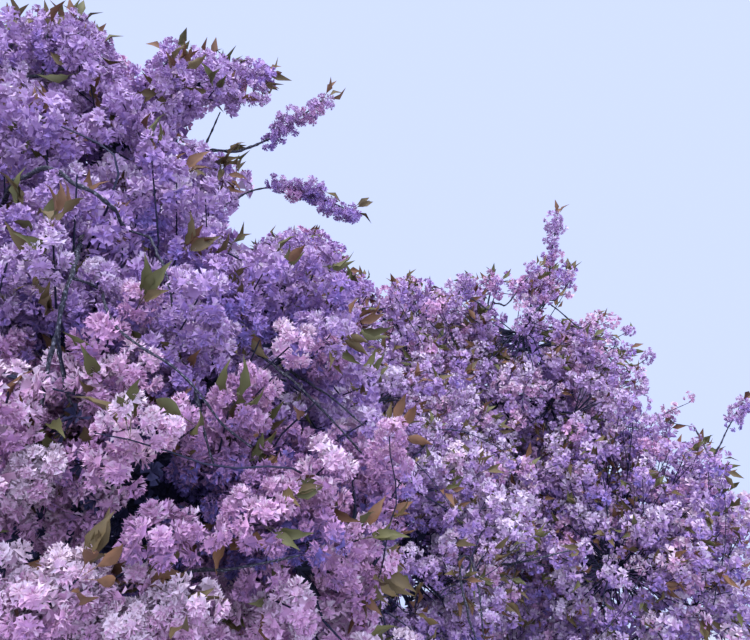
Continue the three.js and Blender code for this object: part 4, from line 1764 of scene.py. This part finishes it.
    def choose(self, mass: Mass | None, sites: Sites, rng: np.random.Generator) -> Sprays:
        """Keep the sprays that stand where blossom may, and deal each its shade, in which light and shade are
        painted.

        Args:
            mass: The mass that they belong to, or None for shoots that show by themselves.
            sites: Where the sprays are.
            rng: Where the chances come from.

        Returns:
            The sprays that are kept.
        """
        places, axes = np.array(sites.places), np.array(sites.axes)
        low, high = self.limits[0] - self.overhang, self.limits[1] + self.overhang
        free = ((places > low) & (places < high)).all(1)
        away = self.eye.distance(places)
        mixed = 0.08 + 0.5 * np.clip(away - 2.8, 0, 1)
        warm = 0.35 * self.lumps(places * 0.7) + mixed * rng.normal(0, 1, len(axes))
        if mass:
            level = self.level_of(mass, places, rng)
            free &= ~self.past_edge(places, 0.04) & self.in_lump(places, 0)
            warm += np.clip((3.3 - away) / 1.6, 0, 1) * np.clip((2.6 - places[:, 2]) / 0.8, 0, 1)
            free &= ~self.before_limb(places, self.spray_clear)
        else:
            # Painted light: sprays of shoots are dealt paler shades near the eye and where they point up.
            level = 1.9 - 1.3 * (away < 1.7) - 0.8 * axes[:, 2] + rng.normal(0, 0.3, len(axes))
            warm += 1.0 * (away < 1.7)
        turns = frames_along(axes, rng.uniform(0, 6.28, len(axes)))
        turns *= (np.array(sites.sizes) * rng.uniform(0.84, 1.16, len(axes)))[:, None, None]
        return Sprays(places[free], turns[free], level[free], (warm > 0.5)[free])

    def dress(self, sprays: Sprays, baskets: dict[Hue, Basket], rng: np.random.Generator) -> None:
        """Set flowers at every spray and deal their petals to the baskets, with painted light: paler where they face
        up, deeper where they face down.

        Args:
            sprays: The sprays of the whole tree.
            baskets: The baskets by hue.
            rng: Where the chances come from.
        """
        petals, grade = Petals(rng), self.grades_of(sprays.places)
        pick = rng.integers(0, self.variants, len(grade))
        for g, make in enumerate(GRADES):
            LOG.info("sprays of grade %d: %d", g, int((grade == g).sum()))
            for variant in range(self.variants):
                verts, tris, tones, facing = petals.spray(make)
                mine = (grade == g) & (pick == variant)
                turns, warm = sprays.turns[mine], np.repeat(sprays.warm[mine], len(tris))
                all_verts, all_tris = placed(verts, tris, turns, sprays.places[mine])
                calm = 1 - self.calm * self.height(sprays.places[mine])[:, None]
                # Painted light and shade: petals that face up are dealt paler shades, those that face down deeper
                # ones.
                level = tones - self.painted_facing_light * (unit(turns[:, 2]) @ facing.T)
                level = sprays.level[mine][:, None] + calm * level
                level = np.clip(np.round(level + rng.normal(0, 0.25, level.shape)), 0, 5).ravel()
                for run, chosen in ((COOL, ~warm), (WARM, warm)):
                    for h, hue in enumerate(run):
                        baskets[hue].add(*only(all_verts, all_tris[chosen & (level == h)]))

    def build(self) -> None:
        """Grow every mass and make the pieces."""
        nodes = [mass.name for mass in self.masses]
        named = {hue: f"petals_{hue.value}" for hue in (*COOL, *WARM, Hue.PAINTED_SHADE)}
        named |= {hue: f"leaves_{hue.value}" for hue in LEAF_HUES}
        baskets = {
            hue: Basket(name, FINISHES[hue].material(name + "_finish"), "blossom", nodes)
            for hue, name in named.items()
        }
        twigs = Basket("twigs", TWIG_BARK.material("twig_bark"), "bark", nodes)
        rng = np.random.default_rng(SEED)
        tufts = [Petals(rng).spray(SHADED_FAR)[:2], Petals(rng).spray(SHADED_NEAR)[:2]]
        grown = [(mass, *self.grow(mass, np.random.default_rng(mass.seed))) for mass in self.masses]
        grown.append((None, *self.grow_shoots(rng)))
        chosen = []
        for mass, sites, wood in grown:
            for points, radii, sides in wood:
                twigs.add(*tubes(points, radii, sides))
            chosen.append(self.choose(mass, sites, rng))
            self.set_leaves(sites, baskets, rng, mass is not None)
            if mass:
                places, turns, near = self.shade_inside(mass, rng)
                twigs.add(*self.twigs_to(places, wood))
                # Painted shade: tufts low and near the eye get the near-black colour, the rest mauve.
                deep = (places[:, 2] < self.painted_dark_below) & (self.eye.distance(places) < self.painted_dark_within)
                for hue, level in ((Hue.MAUVE, ~deep), (Hue.PAINTED_SHADE, deep)):
                    for tuft, mine in zip(tufts, (level & ~near, level & near)):
                        baskets[hue].add(*placed(*tuft, turns[mine], places[mine]))
        self.dress(Sprays.joined(chosen), baskets, rng)
        for basket in (*baskets.values(), twigs):
            basket.make()

    def set_leaves(
        self, sites: Sites, baskets: dict[Hue, Basket], rng: np.random.Generator, trim: bool
    ) -> None:
        """Deal the leaves of one mass to the leaf baskets.

        Args:
            sites: Where the leaves go.
            baskets: The baskets by hue.
            rng: Where the chances come from.
            trim: Whether leaves past the outline are left out.
        """
        at, axes = np.array(sites.leaf_places), np.array(sites.leaf_axes)
        grade = self.grades_of(at)
        size = rng.uniform(*self.leaf_sizes, len(at)) * np.array([g.leaf_scale for g in GRADES])[grade]
        turns = frames_along(axes, rng.uniform(0, 6.28, len(axes))) * size[:, None, None]
        kind = np.repeat(rng.integers(0, 3, len(at) // 3 + 1), 3)[: len(at)]
        free = ~self.before_limb(at, self.leaf_clear)
        if trim:
            free &= ~self.past_edge(at, -0.03)
        for fine in (True, False):
            form = Leaf().form(fine)
            for j, shade in enumerate(LEAF_HUES):
                mine = free & (kind == j) & ((grade < 2) == fine)
                baskets[shade].add(*placed(*form, turns[mine], at[mine]))


@dataclass
class Studio:
    """A plain pale floor, soft light and the camera at eye level."""

    eye: Eye = Eye()
    floor_half: float = 40.0
    surround: float = 1.15
    surround_colour: tuple[float, float, float] = (0.58, 0.67, 1.0)
    key: float = 3.2
    key_spread: float = 42.0
    key_colour: tuple[float, float, float] = (1.0, 0.96, 0.95)
    key_from: tuple[float, float, float] = (-2.0, -9.0, 16.0)
    fill: float = 3.1
    fill_spread: float = 80.0
    fill_colour: tuple[float, float, float] = (0.64, 0.69, 1.0)
    fill_from: tuple[float, float, float] = (2.0, -8.0, 1.5)

    def camera(self) -> None:
        """Make the camera: eye level, looking up into the crown."""
        data = bpy.data.cameras.new("eye_level")
        data.lens, data.sensor_width = self.eye.lens, self.eye.sensor
        data.clip_start, data.clip_end = 0.05, 200
        camera = bpy.data.objects.new("eye_level", data)
        camera.location = self.eye.place
        camera.rotation_euler = (math.radians(90 + self.eye.pitch), 0, 0)
        bpy.context.collection.objects.link(camera)
        bpy.context.scene.camera = camera

    def light(self) -> None:
        """Make the soft light: an even pale surround, a broad light high up and a bluer one low down."""
        world = bpy.data.worlds.new("pale_studio")
        world.use_nodes = True
        ground = world.node_tree.nodes["Background"]
        ground.inputs["Color"].default_value = (*self.surround_colour, 1)
        ground.inputs["Strength"].default_value = self.surround
        bpy.context.scene.world = world
        bpy.context.scene.view_settings.view_transform = "Standard"
        self.lamp("broad_light", self.key, self.key_spread, self.key_from, self.key_colour)
        self.lamp("fill_light", self.fill, self.fill_spread, self.fill_from, self.fill_colour)

    def lamp(
        self,
        name: str,
        strength: float,
        spread: float,
        place: tuple[float, float, float],
        colour: tuple[float, float, float],
    ) -> None:
        """Make one broad soft light.

        Args:
            name: What it is called.
            strength: Its strength in watts for each square metre.
            spread: How wide it looks, in degrees.
            place: Where it shines from, towards the origin.
            colour: Its colour.
        """
        broad = bpy.data.lights.new(name, "SUN")
        broad.energy, broad.angle, broad.color = strength, math.radians(spread), colour
        lamp = bpy.data.objects.new(name, broad)
        lamp.rotation_euler = (-Vector(place)).to_track_quat("-Z", "Y").to_euler()
        bpy.context.collection.objects.link(lamp)

    def floor(self) -> None:
        """Make the plain pale floor."""
        half = self.floor_half
        corners = np.array([[-half, -half, 0], [half, -half, 0], [half, half, 0], [-half, half, 0]])
        finish = PlainFinish((0.42, 0.43, 0.46), 0.9).material("pale_floor")
        mesh_object("floor", corners - [0, 0, 0.002], np.array([[0, 1, 2], [0, 2, 3]]), finish)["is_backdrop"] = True


def main() -> None:
    """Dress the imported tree."""
    logging.basicConfig(level=logging.INFO, format="%(name)s %(message)s")
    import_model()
    packed_box = [list(corner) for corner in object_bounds()]
    studio = Studio()
    studio.camera()
    studio.light()
    studio.floor()
    plan = TreePlan()
    masses = plan.masses()
    limbs = plan.boughs(masses)
    wood = Wood(plan)
    wood.build(limbs)
    canopy = Canopy(masses, (np.array(packed_box[0]), np.array(packed_box[1])))
    canopy.build()
    wood.build_branches(canopy.stout, [mass.name for mass in masses])


if __name__ == "__main__":
    main()
